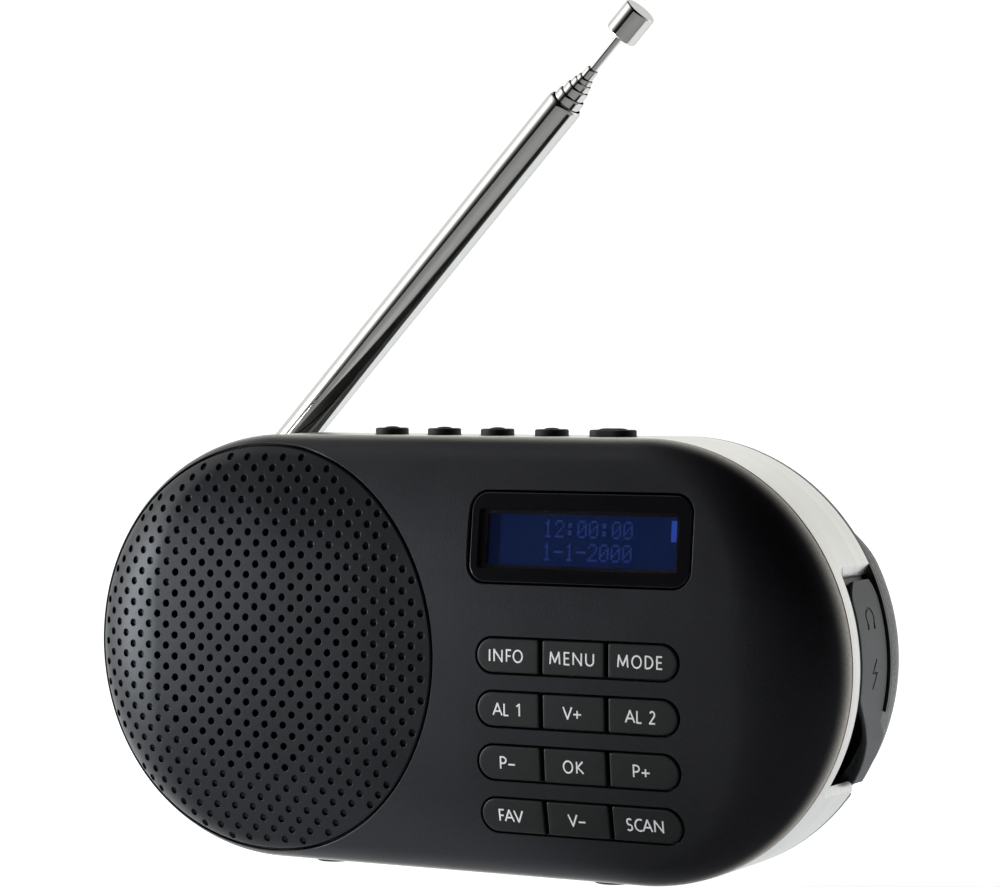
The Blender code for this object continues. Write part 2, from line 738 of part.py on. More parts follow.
def rear_cover():
    """Shell with a shelf along its upper back for the folded antenna and a bay for the battery."""
    far = 200.0
    cover = rear_block("rear_cover", REAR_INSET, REAR_FILLET, REAR_FRONT_Y, DEPTH, REAR_TONGUE_Y)
    cover.data.materials.append(material("case_grey"))
    shelf = box((-far, far), (SHELF_Y, far), (SHELF_Z, far))
    combine(cover, make_object("cut_shelf", shelf, None))

    hollow_inset = REAR_INSET + REAR_WALL
    hollow_fillet = REAR_FILLET - REAR_WALL
    hollow_back = DEPTH - REAR_WALL
    hollow = rear_block("cut_hollow", hollow_inset, hollow_fillet, REAR_TONGUE_Y - 2.0, hollow_back)
    shelf_inside = box((-far, far), (SHELF_Y - REAR_WALL, far), (SHELF_Z - REAR_WALL, far))
    combine(hollow, make_object("cut_hollow_shelf", shelf_inside, None))
    combine(cover, hollow)

    centre = (BAY_CENTRE[0], 0.0, BAY_CENTRE[1])
    flange = prism(rounded_box(BAY_SIZE[0] + 7.0, BAY_SIZE[1] + 7.0, 2.0, 2), 45.5, DEPTH - 1.0)
    combine(cover, make_object("add_bay_flange", flange, None, centre), "UNION")
    tub = prism(rounded_box(BAY_SIZE[0] + 3.0, BAY_SIZE[1] + 3.0, 2.0, 2), BAY_FLOOR_Y - 1.5, 46.0)
    combine(cover, make_object("add_bay_tub", tub, None, centre), "UNION")
    posts = screw_posts()
    for post in posts:
        combine(cover, post, "UNION")

    inside = prism(rounded_box(BAY_SIZE[0], BAY_SIZE[1], 1.0, 2), BAY_FLOOR_Y, DEPTH + 5.0)
    combine(cover, make_object("cut_bay", inside, None, centre))
    recess_y = DOOR_BACK_Y - DOOR_THICKNESS - GAP
    width, height = DOOR_SIZE[0] + 2.0 * GAP, DOOR_SIZE[1] + 2.0 * GAP
    recess = prism(rounded_box(width, height, DOOR_CORNER + GAP), recess_y, DEPTH + 5.0)
    combine(cover, make_object("cut_door_recess", recess, None, centre))
    for index, (x, z) in enumerate(SCREW_POINTS):
        steps = ((1.6, 20.0), (1.6, SCREW_SEAT_Y), (3.2, SCREW_SEAT_Y), (3.2, DEPTH + 5.0))
        drill = loft([[(px, y, pz) for px, pz in circle(radius, 14)] for radius, y in steps])
        combine(cover, make_object("cut_screw_way_%d" % (index + 1), drill, None, (x, 0.0, z)))
    pivot = (ANTENNA_PIVOT[0], 0.0, ANTENNA_PIVOT[2])
    combine(cover, make_object("cut_swivel_hole", rod(2.3, 20.0, 40.0, 16, "Y"), None, pivot))
    clip_room = rod(3.8, 20.0, SHELF_Y - REAR_WALL, 16, "Y")
    combine(cover, make_object("cut_clip_room", clip_room, None, pivot))
    return cover


def screw_posts():
    posts = []
    for index, (x, z) in enumerate(SCREW_POINTS):
        back = SHELF_Y - 0.5 if z > 0.0 else 45.0
        post = rod(POST_RADIUS, POST_FRONT_Y, back, 14, "Y")
        posts.append(make_object("add_post_%d" % (index + 1), post, None, (x, 0.0, z)))
    return posts


def battery_parts():
    """Door in the back with a finger groove near its top edge, and the pack in the bay behind it."""
    centre = (BAY_CENTRE[0], 0.0, BAY_CENTRE[1])
    outline = rounded_box(DOOR_SIZE[0], DOOR_SIZE[1], DOOR_CORNER)
    plate = prism(outline, DOOR_BACK_Y - DOOR_THICKNESS, DOOR_BACK_Y)
    door = make_object("battery_door", plate, "case_grey", centre)
    top = DOOR_SIZE[1] / 2.0
    grip = box((-8.0, 8.0), (DOOR_BACK_Y - 0.8, DEPTH + 5.0), (top - 5.0, top - 2.0))
    combine(door, make_object("cut_door_grip", grip, None, centre))
    pack = prism(rounded_box(54.0, 40.0, 3.0, 3), BAY_FLOOR_Y + GAP, 44.5)
    make_object("battery_pack", pack, "battery_wrap", centre)


def case_screws():
    """Pan-head screws that hold the rear cover to the bosses of the front cover."""
    names = ("left_bottom", "left_top", "right_bottom", "right_top")
    seat = SCREW_SEAT_Y + GAP
    shank = ((18.0, 0.6), (19.0, 1.2), (seat, 1.2))
    head = ((seat, 2.8), (seat + 1.2, 2.8), (seat + 1.9, 1.9))
    for name, (x, z) in zip(names, SCREW_POINTS):
        rings = []
        for y, radius in shank + head:
            rings.append([(px, y, pz) for px, pz in circle(radius, 14)])
        make_object("case_screw_" + name, loft(rings), "steel", (x, 0.0, z), smooth=True)


# ---------------------------------------------------------------- inside: speaker and electronics
def speaker():
    """Loudspeaker behind the grille: pressed basket, ring magnet, paper cone and dust cap."""
    front = SPEAKER_FLANGE_Y
    rim = SPEAKER_FLANGE_RADIUS
    steps = 32
    origin = (-END_X, 0.0, 0.0)
    basket = [
        (31.5, front), (rim, front), (rim, front + 1.4), (31.0, front + 1.4), (15.5, 21.5),
        (9.0, 21.5), (9.0, 20.3), (14.8, 20.3), (30.2, front + 1.4),
    ]
    make_object("speaker_frame", turned(basket, steps, "Y"), "steel", origin, smooth=True)
    magnet = turned([(2.0, 21.9), (17.0, 21.9), (17.0, 31.5), (2.0, 31.5)], steps, "Y")
    make_object("speaker_magnet", magnet, "ferrite", origin, smooth=True)
    cone = [
        (31.0, 6.6), (30.4, 5.9), (28.6, 5.9), (27.6, 7.2), (8.5, 14.8), (8.5, 15.6),
        (27.6, 8.2), (28.8, 6.8), (30.2, 6.8), (30.8, 7.3),
    ]
    make_object("speaker_cone", turned(cone, steps, "Y"), "paper", origin, smooth=True)
    cap_rings = []
    for radius, y in ((7.9, 15.6), (7.9, 14.6), (6.5, 13.2), (4.0, 12.2), (1.0, 11.8)):
        cap_rings.append([(x, y, z) for x, z in circle(radius, 20)])
    make_object("speaker_dust_cap", loft(cap_rings), "paper", origin, smooth=True)


def electronics():
    make_object("main_board", box((2.0, 60.0), (17.6, 19.2), (-34.0, 34.0)), "board_green")
    make_object("tuner_module", box((12.0, 42.0), (19.5, 24.0), (2.0, 24.0)), "tin")


# ---------------------------------------------------------------- antenna
def lean(item):
    item.rotation_euler = (0.0, ANTENNA_LEAN, 0.0)
    return item


def antenna_swivel():
    """Turning base with two cheeks, the hinge pin through them and the clip that retains the base."""
    base = rod(4.0, -4.4, -3.2, 24, "Y")
    item = lean(make_object("antenna_swivel", base, "chrome", ANTENNA_PIVOT, smooth=True))
    stub = make_object("add_stub", rod(2.0, -7.9, -3.8, 16, "Y"), None, ANTENNA_PIVOT)
    combine(item, lean(stub), "UNION")
    for side in (-1.0, 1.0):
        rings = []
        for x in (1.9 * side, 3.0 * side):
            ring = [(x, -3.8, 3.0), (x, -3.8, -3.0)]
            for step in range(9):
                angle = -math.pi / 2.0 + math.pi * step / 8
                ring.append((x, 3.0 * math.cos(angle), 3.0 * math.sin(angle)))
            rings.append(ring)
        name = "add_cheek_%s" % ("left" if side < 0.0 else "right")
        combine(item, lean(make_object(name, loft(rings), None, ANTENNA_PIVOT)), "UNION")
    hole = make_object("cut_cheek_hole", rod(1.2, -6.0, 6.0, 16, "X"), None, ANTENNA_PIVOT)
    combine(item, lean(hole))
    pin = rod(0.9, -3.3, 3.3, 16, "X")
    lean(make_object("antenna_hinge_pin", pin, "chrome", ANTENNA_PIVOT, smooth=True))
    clip = turned([(2.3, -7.8), (3.4, -7.8), (3.4, -7.0), (2.3, -7.0)], 20, "Y")
    lean(make_object("antenna_retaining_clip", clip, "steel", ANTENNA_PIVOT, smooth=True))


def antenna_main_tube():
    """Outermost tube: closed below by a flat tongue on the hinge pin, rolled in at the open end."""
    steps = 24
    outer, bore, end = ANTENNA_RADII[0], ANTENNA_BORES[0], ANTENNA_ENDS[0]
    rings = []
    profile = ((3.4, 5.2), (outer, 5.9), (outer, end - 0.5), (outer - 0.35, end), (bore, end), (bore, 9.5))
    for radius, height in profile:
        rings.append([(x, y, height) for x, y in circle(radius, steps)])
    tube = lean(make_object("antenna_tube_1", loft(rings), "chrome", ANTENNA_PIVOT, smooth=True))
    tongue_rings = []
    for x in (-1.5, 1.5):
        ring = [(x, 2.8, 7.0), (x, -2.8, 7.0)]
        for step in range(9):
            angle = math.pi + math.pi * step / 8
            ring.append((x, 2.8 * math.cos(angle), 2.8 * math.sin(angle)))
        tongue_rings.append(ring)
    tongue = make_object("add_tongue", loft(tongue_rings), None, ANTENNA_PIVOT)
    combine(tube, lean(tongue), "UNION")
    hole = make_object("cut_tongue_hole", rod(1.2, -6.0, 6.0, 16, "X"), None, ANTENNA_PIVOT)
    combine(tube, lean(hole))


def antenna_sections():
    steps = 16
    for index in range(1, len(ANTENNA_RADII)):
        outer, bore, end = ANTENNA_RADII[index], ANTENNA_BORES[index], ANTENNA_ENDS[index]
        start = ANTENNA_INNER_START
        profile = [(bore, start), (outer, start), (outer, end - 0.3), (outer - 0.15, end), (bore, end)]
        name = "antenna_tube_%d" % (index + 1)
        lean(make_object(name, turned(profile, steps), "chrome", ANTENNA_PIVOT, smooth=True))
    rod_end = TIP_SPAN[0] + 4.0
    bar = rod(ROD_RADIUS, ANTENNA_INNER_START, rod_end, 12)
    lean(make_object("antenna_rod", bar, "chrome", ANTENNA_PIVOT, smooth=True))
    low, high = TIP_SPAN
    bore = ROD_RADIUS + GAP
    rings = []
    edge = 0.4
    profile = (
        (bore, rod_end + GAP),
        (bore, low),
        (TIP_RADIUS - edge, low),
        (TIP_RADIUS, low + edge),
        (TIP_RADIUS, high - edge),
        (TIP_RADIUS - edge, high),
    )
    for radius, height in profile:
        rings.append([(x, y, height) for x, y in circle(radius, 24)])
    lean(make_object("antenna_tip", loft(rings), "chrome", ANTENNA_PIVOT, smooth=True))


# ---------------------------------------------------------------- feet
def feet():
    """Rubber feet: two under the silver band and two under the rear cover."""
    spots = (
        ("front", FRONT_FOOT_Y, 4.0, -CASE_RADIUS),
        ("rear", REAR_FOOT_Y, 3.2, REAR_INSET - CASE_RADIUS),
    )
    for place, y, radius, seat in spots:
        for side, x in (("left", -FOOT_X), ("right", FOOT_X)):
            shape = rod(radius, GROUND_Z, seat - GAP, 20)
            make_object("foot_%s_%s" % (place, side), shape, "rubber_black", (x, y, 0.0), smooth=True)


def build():
    clear_scene()
    front_cover()
    speaker_grille()
    display_parts()
    keypad_parts()
    trim_band()
    top_buttons()
    port_flap()
    port_frame()
    sockets()
    rear_cover()
    battery_parts()
    case_screws()
    speaker()
    electronics()
    antenna_swivel()
    antenna_main_tube()
    antenna_sections()
    feet()


build()
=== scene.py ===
"""Looks of the tabletop radio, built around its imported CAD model.

The driving dimensions are in millimetres in the case frame of the CAD model: X to the right, Y from the
foremost point of the face to the back, Z up from the middle height of the case.  place() turns them into
the row frame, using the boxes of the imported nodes.
"""

import math

import bmesh
import bpy
from mathutils import Matrix, Vector
from mathutils.geometry import delaunay_2d_cdt


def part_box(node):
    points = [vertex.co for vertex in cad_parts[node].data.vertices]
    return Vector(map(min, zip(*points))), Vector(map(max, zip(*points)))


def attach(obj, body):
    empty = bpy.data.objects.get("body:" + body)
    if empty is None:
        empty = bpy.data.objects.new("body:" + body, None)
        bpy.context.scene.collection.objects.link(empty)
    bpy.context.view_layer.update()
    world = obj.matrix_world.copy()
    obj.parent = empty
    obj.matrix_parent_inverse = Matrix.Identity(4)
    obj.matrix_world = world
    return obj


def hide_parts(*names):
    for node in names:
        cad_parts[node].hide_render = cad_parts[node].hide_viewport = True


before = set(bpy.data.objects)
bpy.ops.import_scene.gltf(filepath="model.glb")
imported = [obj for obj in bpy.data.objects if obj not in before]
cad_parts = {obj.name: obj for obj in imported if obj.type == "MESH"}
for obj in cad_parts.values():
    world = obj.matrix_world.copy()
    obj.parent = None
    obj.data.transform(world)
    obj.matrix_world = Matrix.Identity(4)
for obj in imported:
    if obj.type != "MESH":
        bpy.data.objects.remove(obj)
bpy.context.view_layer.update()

MM = 0.001

# ---------------------------------------------------------------- driving dimensions, millimetres
CASE_RADIUS = 46.1
END_X = 43.9
SEAM_Y = 11.9
BAND_FRONT_Y = 12.2
BAND_BACK_Y = 32.1
BAND_INNER = 44.5
DEPTH = 50.0
EDGE = 0.3

CROWN_SCALE = 43.6
CROWN_SQUARE = 2.31
CROWN_FOURTH = 3.24
ROLL_AT_TOP = 5.0
ROLL_AT_ENDS = 21.0
WALL = 2.2
LIP_INSET = 1.9

GRILLE_RADIUS = 43.8
GRILLE_SEAT_RADIUS = 44.3
GRILLE_SINK = 0.35
GRILLE_THICKNESS = 1.25
GRILLE_SEAT_DEPTH = 2.0
SOUND_OPENING_RADIUS = 32.0
HOLE_PITCH = 2.294
HOLE_RADIUS = 0.79
HOLE_CHAMFER = 0.14
HOLE_STEPS = 16
RIM_STEPS = 200
HOLE_FIELD_RADIUS = 42.4
OPEN_FIELD_RADIUS = 26.4

WINDOW_CENTRE = (34.1, 25.6)
WINDOW_SIZE = (50.7, 18.7)
WINDOW_CORNER = 3.8
WINDOW_THICKNESS = 1.5
WINDOW_GAP = 0.35
WINDOW_FRONT_Y = 1.63
WINDOW_TILT = math.radians(7.0)
DISPLAY_OFFSET = (-0.55, -0.3)
DISPLAY_SIZE = (43.5, 10.6)
MODULE_SIZE = (47.0, 14.5)
DISPLAY_DEPTH = 2.7
DISPLAY_LINES = ("12:00:00", "1-1-2000")

KEY_ROW_TOP_Z = 1.22
KEY_ROW_PITCH = 11.13
KEY_SLOT = (10.75, 57.55)
KEY_SLOT_HEIGHT = 7.8
KEY_CLEARANCE = 0.4
KEY_GAP = 0.85
KEY_DIVIDERS = (26.0, 41.1)
KEY_PROUD = 0.15
KEY_EDGE = 0.35
KEY_CORNER = 0.4
KEY_STRAIGHT = 0.02
KEY_BACK_Y = 6.4
KEY_LEGENDS = (
    (("key_info", "INFO"), ("key_menu", "MENU"), ("key_mode", "MODE")),
    (("key_alarm_1", "AL 1"), ("key_volume_up", "V+"), ("key_alarm_2", "AL 2")),
    (("key_preset_down", "P-"), ("key_ok", "OK"), ("key_preset_up", "P+")),
    (("key_favourite", "FAV"), ("key_volume_down", "V-"), ("key_scan", "SCAN")),
)
LEGEND_X = (18.0, 33.3, 48.8)
LEGEND_HEIGHT = 2.8
LEGEND_STROKE = 0.37
LEGEND_RISE = 0.03

BUTTON_X = (-22.05, -9.0, 4.05, 17.15)
OVAL_BUTTON_X = 31.65
BUTTON_Y = 22.0
BUTTON_RADIUS = 3.6
OVAL_BUTTON_HALF = 5.15 - BUTTON_RADIUS
BUTTON_TOP_Z = 47.5
BUTTON_FOOT_Z = 43.2
BUTTON_HOLE_Z = (40.0, 50.0)
BUTTON_CLEARANCE = 0.35

PORT_ANGLES = (24.0, -33.4)
PORT_BEVEL_ANGLES = (2.3, -1.6)
PORT_FRONT_Y = 17.8
PORT_BEVEL = 1.9
PORT_CORNER = 2.6
FLAP_ANGLES = (22.4, -32.5)
FLAP_ROUND_FROM = 16.5
FLAP_ROUNDING = (3.6, 1.6)
FLAP_SLANT_FROM = -8.0
FLAP_SLANT = 11.4
FLAP_FRONT_Y = 18.1
FLAP_BACK_Y = 31.6
FLAP_RADII = (44.5, 45.6)
TAB_REACH = 3.2
TAB_REACH_ANGLES = (-15.0, -19.0)
TAB_LIFT = 0.4
TAB_LIFT_ANGLES = (-11.0, -15.0)
TAB_OUTER_ANGLES = (-12.0, -20.0)

REAR_INSET = 1.5
REAR_WALL = 2.0
REAR_FILLET = 12.0
REAR_FRONT_Y = 32.4
HOLLOW_FRONT_Y = 28.0
PAST_BACK_Y = DEPTH + 5.0
REAR_ROUND_START_Y = 34.2
REAR_ROUND_INSET = 1.1
REAR_ROUND_ANGLES = (27.0, 46.0)
REAR_LINE = (33.2, 33.7, 0.35)
LIP_Y = (32.15, 33.2)
LIP_SHORT = 0.04
LIP_OPEN_ANGLES = (-12.5, -36.5)
SHELF_Z = 26.0
SHELF_Y = 33.8
BAY_CENTRE = (22.0, -4.0)
BAY_SIZE = (60.0, 45.0)
BAY_FLOOR_Y = 29.5
BAY_WALL = 1.5
BAY_FLANGE = 3.5
BAY_TUB_Y = (BAY_FLOOR_Y - BAY_WALL, 46.0)
BAY_FLANGE_Y = (45.5, DEPTH - 1.0)
DOOR_SIZE = (63.4, 48.4)
DOOR_THICKNESS = 1.8
DOOR_CORNER = 3.0
SCREW_CIRCLE = 40.0
SCREW_ANGLES = ((-1.0, 225.0), (-1.0, 76.0), (1.0, -45.0), (1.0, 56.0))
SCREW_WAY_RADIUS = 3.2
SCREW_HOLE_RADIUS = 1.6
SCREW_SEAT_Y = 30.5
POST_RADIUS = 3.9
POST_BACK_Y = 45.0

ANTENNA_PIVOT = (-70.5, 38.5, 30.5)
ANTENNA_LEAN = math.radians(43.45)
ANTENNA_RADII = (4.08, 3.25, 2.70, 2.25, 1.85, 1.40)
ANTENNA_BORES = (3.58, 3.00, 2.50, 2.08, 1.65, 1.18)
ANTENNA_ENDS = (120.2, 122.3, 124.5, 126.1, 127.3, 129.7)
ANTENNA_INNER_START = 12.0
ROD_RADIUS = 0.9
TIP_SPAN = (139.2, 146.4)
TIP_RADIUS = 3.7
TUBE_STEPS = 96
SWIVEL_HOLE_RADIUS = 2.3
PIN_RADIUS = 1.0
TONGUE_X = (-1.5, 1.5)
CHEEK_X = (1.9, 3.0)
# (radius, height) points of the first tube's foot, and of the turning base from its stub outwards
TUBE_FOOT = ((1.2, 4.6), (2.9, 4.75), (3.6, 5.2), (3.98, 5.9), (ANTENNA_RADII[0], 6.8))
SWIVEL_PROFILE = ((2.0, -7.9), (2.0, -4.4), (3.8, -4.4), (4.0, -4.2), (4.0, -3.4), (3.8, -3.2))

ARC_STEPS = 96
STRAIGHT_STEPS = 12
TOOL_FRONT_Y = -5.0
TOOL_BACK_Y = 20.0
TOOL_PAST = 0.1

# where the cover's colour is lightened into a painted sheen towards the seam, and the features per metre of
# the slow drift in gloss
SEAM_SHEEN_Y = (7.4, SEAM_Y + 1.0)
SLOW_DRIFT = 60.0

# ---------------------------------------------------------------- camera and light
CAMERA_AIM = (16.64, 0.0, 45.01)
CAMERA_DISTANCE = 688.9
CAMERA_AZIMUTH = 28.654
CAMERA_ELEVATION = 1.545
CAMERA_ROLL = 0.127
CAMERA_LENS = 120.33
CAMERA_SENSOR = 36.0
LIGHT_AIM = (0.0, 0.0, 0.06)

# the floor's glow, and the Y in metres where it starts and where it is full
GLOW = 0.9
GLOW_START = -0.046
GLOW_FULL = -0.026
# azimuth and elevation in degrees, strength and sharpness of each soft glow
SKY_GLOWS = ((-68.0, 12.0, 2.3, 30.0), (-74.0, 40.0, 1.9, 9.0), (140.0, 8.0, 2.0, 10.0))
SKY_BASE = 0.004

FRONT_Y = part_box("front_cover")[0].y
MIDDLE_Z = (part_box("trim_band")[0].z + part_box("trim_band")[1].z) / 2.0


def place(x, y, z):
    """A point of the case frame, in the row frame."""
    return Vector((x * MM, FRONT_Y + y * MM, MIDDLE_Z + z * MM))


# ---------------------------------------------------------------- procedural materials
def new_material(name):
    made = bpy.data.materials.new(name)
    made.use_nodes = True
    return made, made.node_tree, principled(made)


def principled(made):
    return made.node_tree.nodes["Principled BSDF"]


def settle(node, inputs):
    """Link or set inputs of a node; a plain colour gets its alpha here."""
    for key, value in inputs.items():
        socket = node.inputs[key]
        if isinstance(value, bpy.types.NodeSocket):
            node.id_data.links.new(value, socket)
        elif socket.type == "RGBA":
            socket.default_value = (*value, 1.0)
        else:
            socket.default_value = value


def add_node(tree, kind, inputs=None, **properties):
    node = tree.nodes.new("ShaderNode" + kind)
    for key, value in properties.items():
        setattr(node, key, value)
    settle(node, inputs or {})
    return node


def object_place(tree):
    return add_node(tree, "TexCoord").outputs["Object"]


def grain(tree, scale, detail=2.0, stretch=(1.0, 1.0, 1.0)):
    """Noise in the piece's own coordinates; scale is in features per metre."""
    mapping = add_node(tree, "Mapping", {"Vector": object_place(tree), "Scale": stretch})
    inputs = {"Vector": mapping.outputs["Vector"], "Scale": scale, "Detail": detail}
    return add_node(tree, "TexNoise", inputs).outputs["Fac"]


def ramp(tree, factor, low, high, start=0.35, end=0.65):
    """Colour between low and high, driven by factor."""
    node = add_node(tree, "ValToRGB", {"Fac": factor})
    for stop, position, colour in zip(node.color_ramp.elements, (start, end), (low, high)):
        stop.position = position
        stop.color = (*colour, 1.0)
    return node.outputs["Color"]


def span(tree, factor, low, high):
    """Number between low and high, driven by factor."""
    inputs = {"Value": factor, "From Min": 0.3, "From Max": 0.7, "To Min": low, "To Max": high}
    return add_node(tree, "MapRange", inputs).outputs["Result"]


def bump(tree, height, depth_mm):
    inputs = {"Height": height, "Strength": 1.0, "Distance": depth_mm * MM}
    return add_node(tree, "Bump", inputs).outputs["Normal"]


def scaled(colour, factor):
    return tuple(value * factor for value in colour)


def plastic(name, colour, spread, roughness, grain_scale, grain_depth, specular=0.5):
    """Moulded plastic or rubber: fine grain in the surface and a slow drift in gloss."""
    made, tree, shader = new_material(name)
    fine = grain(tree, grain_scale, 3.0)
    slow = grain(tree, SLOW_DRIFT)
    inputs = {
        "Base Color": ramp(tree, fine, scaled(colour, 1.0 - spread), scaled(colour, 1.0 + spread)),
        "Roughness": span(tree, slow, roughness - 0.03, roughness + 0.03),
        "Specular IOR Level": specular,
        "Normal": bump(tree, fine, grain_depth),
    }
    settle(shader, inputs)
    return made


def soft_touch():
    """Soft-touch paint of the front cover, lightened by a painted sheen towards its rear edge."""
    made = plastic("soft_touch_black", (0.006, 0.006, 0.0078), 0.35, 0.42, 2600.0, 0.03, 0.27)
    tree = made.node_tree
    shader = principled(made)
    # painted sheen: towards the seam the colour blends into a light warm grey that stands in for the glow
    # of light along the cover's rear edge
    split = add_node(tree, "SeparateXYZ", {"Vector": object_place(tree)})
    start, end = (FRONT_Y + y * MM for y in SEAM_SHEEN_Y)
    limits = {"Value": split.outputs["Y"], "From Min": start, "From Max": end}
    sheen_share = add_node(tree, "MapRange", limits, interpolation_type="SMOOTHERSTEP")
    mix = add_node(tree, "Mix", {"Factor": sheen_share.outputs["Result"]}, data_type="RGBA")
    paint, sheen_input = [socket for socket in mix.inputs if socket.type == "RGBA"]
    tree.links.new(shader.inputs["Base Color"].links[0].from_socket, paint)
    painted_sheen = ramp(tree, grain(tree, 1800.0, 3.0), (0.72, 0.68, 0.6), (0.9, 0.86, 0.78))
    tree.links.new(painted_sheen, sheen_input)
    result = next(socket for socket in mix.outputs if socket.type == "RGBA")
    settle(shader, {"Base Color": result, "Specular Tint": (0.9, 0.93, 1.0)})
    return made


def grille_paint():
    """Black paint of the grille, glossier than the cover."""
    made = plastic("grille_black", (0.005, 0.0055, 0.007), 0.25, 0.34, 2400.0, 0.02, 0.18)
    settle(principled(made), {"Specular Tint": (0.9, 0.95, 1.0)})
    return made


def metal(name, colour, roughness, grain_scale=900.0, depth=0.0005, spread=0.04):
    """Plated or bare metal with faint wear in its gloss."""
    made, tree, shader = new_material(name)
    wear = grain(tree, grain_scale, 4.0)
    inputs = {
        "Base Color": ramp(tree, wear, scaled(colour, 1.0 - spread), colour),
        "Roughness": span(tree, wear, roughness * 0.8, roughness * 1.25),
        "Metallic": 1.0,
        "Normal": bump(tree, wear, depth),
    }
    settle(shader, inputs)
    return made


def chrome():
    """Polished plating: darker than its surroundings, and a little darker still at its outline."""
    made = metal("polished_chrome", (0.63, 0.63, 0.615), 0.055, 400.0, 0.0002, 0.02)
    settle(principled(made), {"Specular Tint": (0.66, 0.67, 0.68)})
    return made


def brushed_band():
    """Brushed silver: the brush lines run along the band, so they change only across its depth."""
    made, tree, shader = new_material("brushed_silver")
    lines = grain(tree, 60.0, 3.0, (0.25, 90.0, 0.25))
    slow = grain(tree, 25.0)
    inputs = {
        "Base Color": ramp(tree, lines, (0.50, 0.50, 0.485), (0.66, 0.66, 0.645), 0.25, 0.75),
        "Roughness": span(tree, slow, 0.26, 0.34),
        "Metallic": 1.0,
        "Normal": bump(tree, lines, 0.006),
    }
    settle(shader, inputs)
    return made


def clear_window():
    """Smoked clear plastic, lightly uneven in gloss as wiped plastic is."""
    made, tree, shader = new_material("smoked_clear")
    gloss = span(tree, grain(tree, 120.0, 3.0), 0.03, 0.06)
    colour = (0.75, 0.77, 0.82)
    settle(shader, {"Base Color": colour, "Roughness": gloss, "IOR": 1.3, "Transmission Weight": 1.0})
    return made


def display_surface(name, base, glow):
    """Backlit display film: a faint grain in its glow."""
    made, tree, shader = new_material(name)
    light = ramp(tree, grain(tree, 2500.0, 1.0), scaled(glow, 0.9), glow)
    settle(shader, {"Base Color": base, "Roughness": 0.5, "Specular IOR Level": 0.1})
    settle(shader, {"Emission Color": light, "Emission Strength": 1.0})
    return made


MATERIALS = {
    "soft_black": soft_touch(),
    "grille_black": grille_paint(),
    "key_black": plastic("key_black", (0.006, 0.0075, 0.0075), 0.3, 0.5, 2200.0, 0.012, 0.25),
    "window_black": plastic("window_border", (0.0045, 0.0045, 0.0055), 0.05, 0.14, 300.0, 0.0002, 0.3),
    "window_clear": clear_window(),
    "bezel_black": plastic("display_bezel", (0.004, 0.004, 0.005), 0.2, 0.5, 900.0, 0.004),
    "display_navy": display_surface("display_navy", (0.002, 0.004, 0.02), (0.0035, 0.0105, 0.048)),
    # painted shade: a dimmer copy of the film's glow for the strip that the window's inner wall shades
    "display_painted_shade": display_surface("display_painted_shade", (0.002, 0.003, 0.012), (0.0018, 0.0045, 0.022)),
    "display_dots": display_surface("display_dots", (0.01, 0.02, 0.08), (0.016, 0.032, 0.14)),
    "display_bright": display_surface("display_bright", (0.02, 0.05, 0.2), (0.022, 0.055, 0.33)),
    "legend": plastic("printed_legend", (0.84, 0.85, 0.85), 0.05, 0.5, 2500.0, 0.003),
    "silver": brushed_band(),
    # painted shadow: dark metal for the shadow gap between the band and the rear cover
    "painted_gap_shadow": metal("painted_gap_shadow", (0.05, 0.05, 0.055), 0.4),
    # painted highlight: bronze metal on the band's front edge stands in for the warm glow along the seam
    "seam_painted_highlight": metal("seam_highlight_bronze", (0.35, 0.22, 0.12), 0.35),
    "button_rubber": plastic("button_rubber", (0.014, 0.014, 0.014), 0.25, 0.6, 2200.0, 0.01, 0.35),
    "flap_rubber": plastic("flap_rubber", (0.055, 0.062, 0.067), 0.12, 0.5, 1800.0, 0.012),
    "socket_black": plastic("socket_plastic", (0.01, 0.01, 0.01), 0.2, 0.4, 900.0, 0.01),
    "case_grey": plastic("rear_plastic", (0.16, 0.165, 0.165), 0.35, 0.5, 1500.0, 0.045),
    "silicone": plastic("silicone_sheet", (0.28, 0.28, 0.28), 0.05, 0.6, 600.0, 0.01),
    "board_green": plastic("solder_mask", (0.01, 0.09, 0.04), 0.3, 0.35, 500.0, 0.01),
    "light_guide": plastic("light_guide", (0.75, 0.75, 0.75), 0.03, 0.3, 500.0, 0.002),
    "battery_wrap": plastic("battery_wrap", (0.02, 0.06, 0.2), 0.1, 0.3, 300.0, 0.02),
    "cone_paper": plastic("cone_paper", (0.012, 0.012, 0.012), 0.4, 0.85, 900.0, 0.05),
    "ferrite": plastic("ferrite", (0.03, 0.03, 0.032), 0.25, 0.5, 1200.0, 0.02),
    "foot_rubber": plastic("foot_rubber", (0.008, 0.008, 0.008), 0.25, 0.7, 1200.0, 0.02),
    "steel": metal("plated_steel", (0.55, 0.55, 0.55), 0.3),
    "tin": metal("tinned_steel", (0.6, 0.6, 0.58), 0.35),
    "chrome": chrome(),
}


# ---------------------------------------------------------------- meshes from rows of points
def link_object(name, data):
    item = bpy.data.objects.new(name, data)
    bpy.context.scene.collection.objects.link(item)
    return item


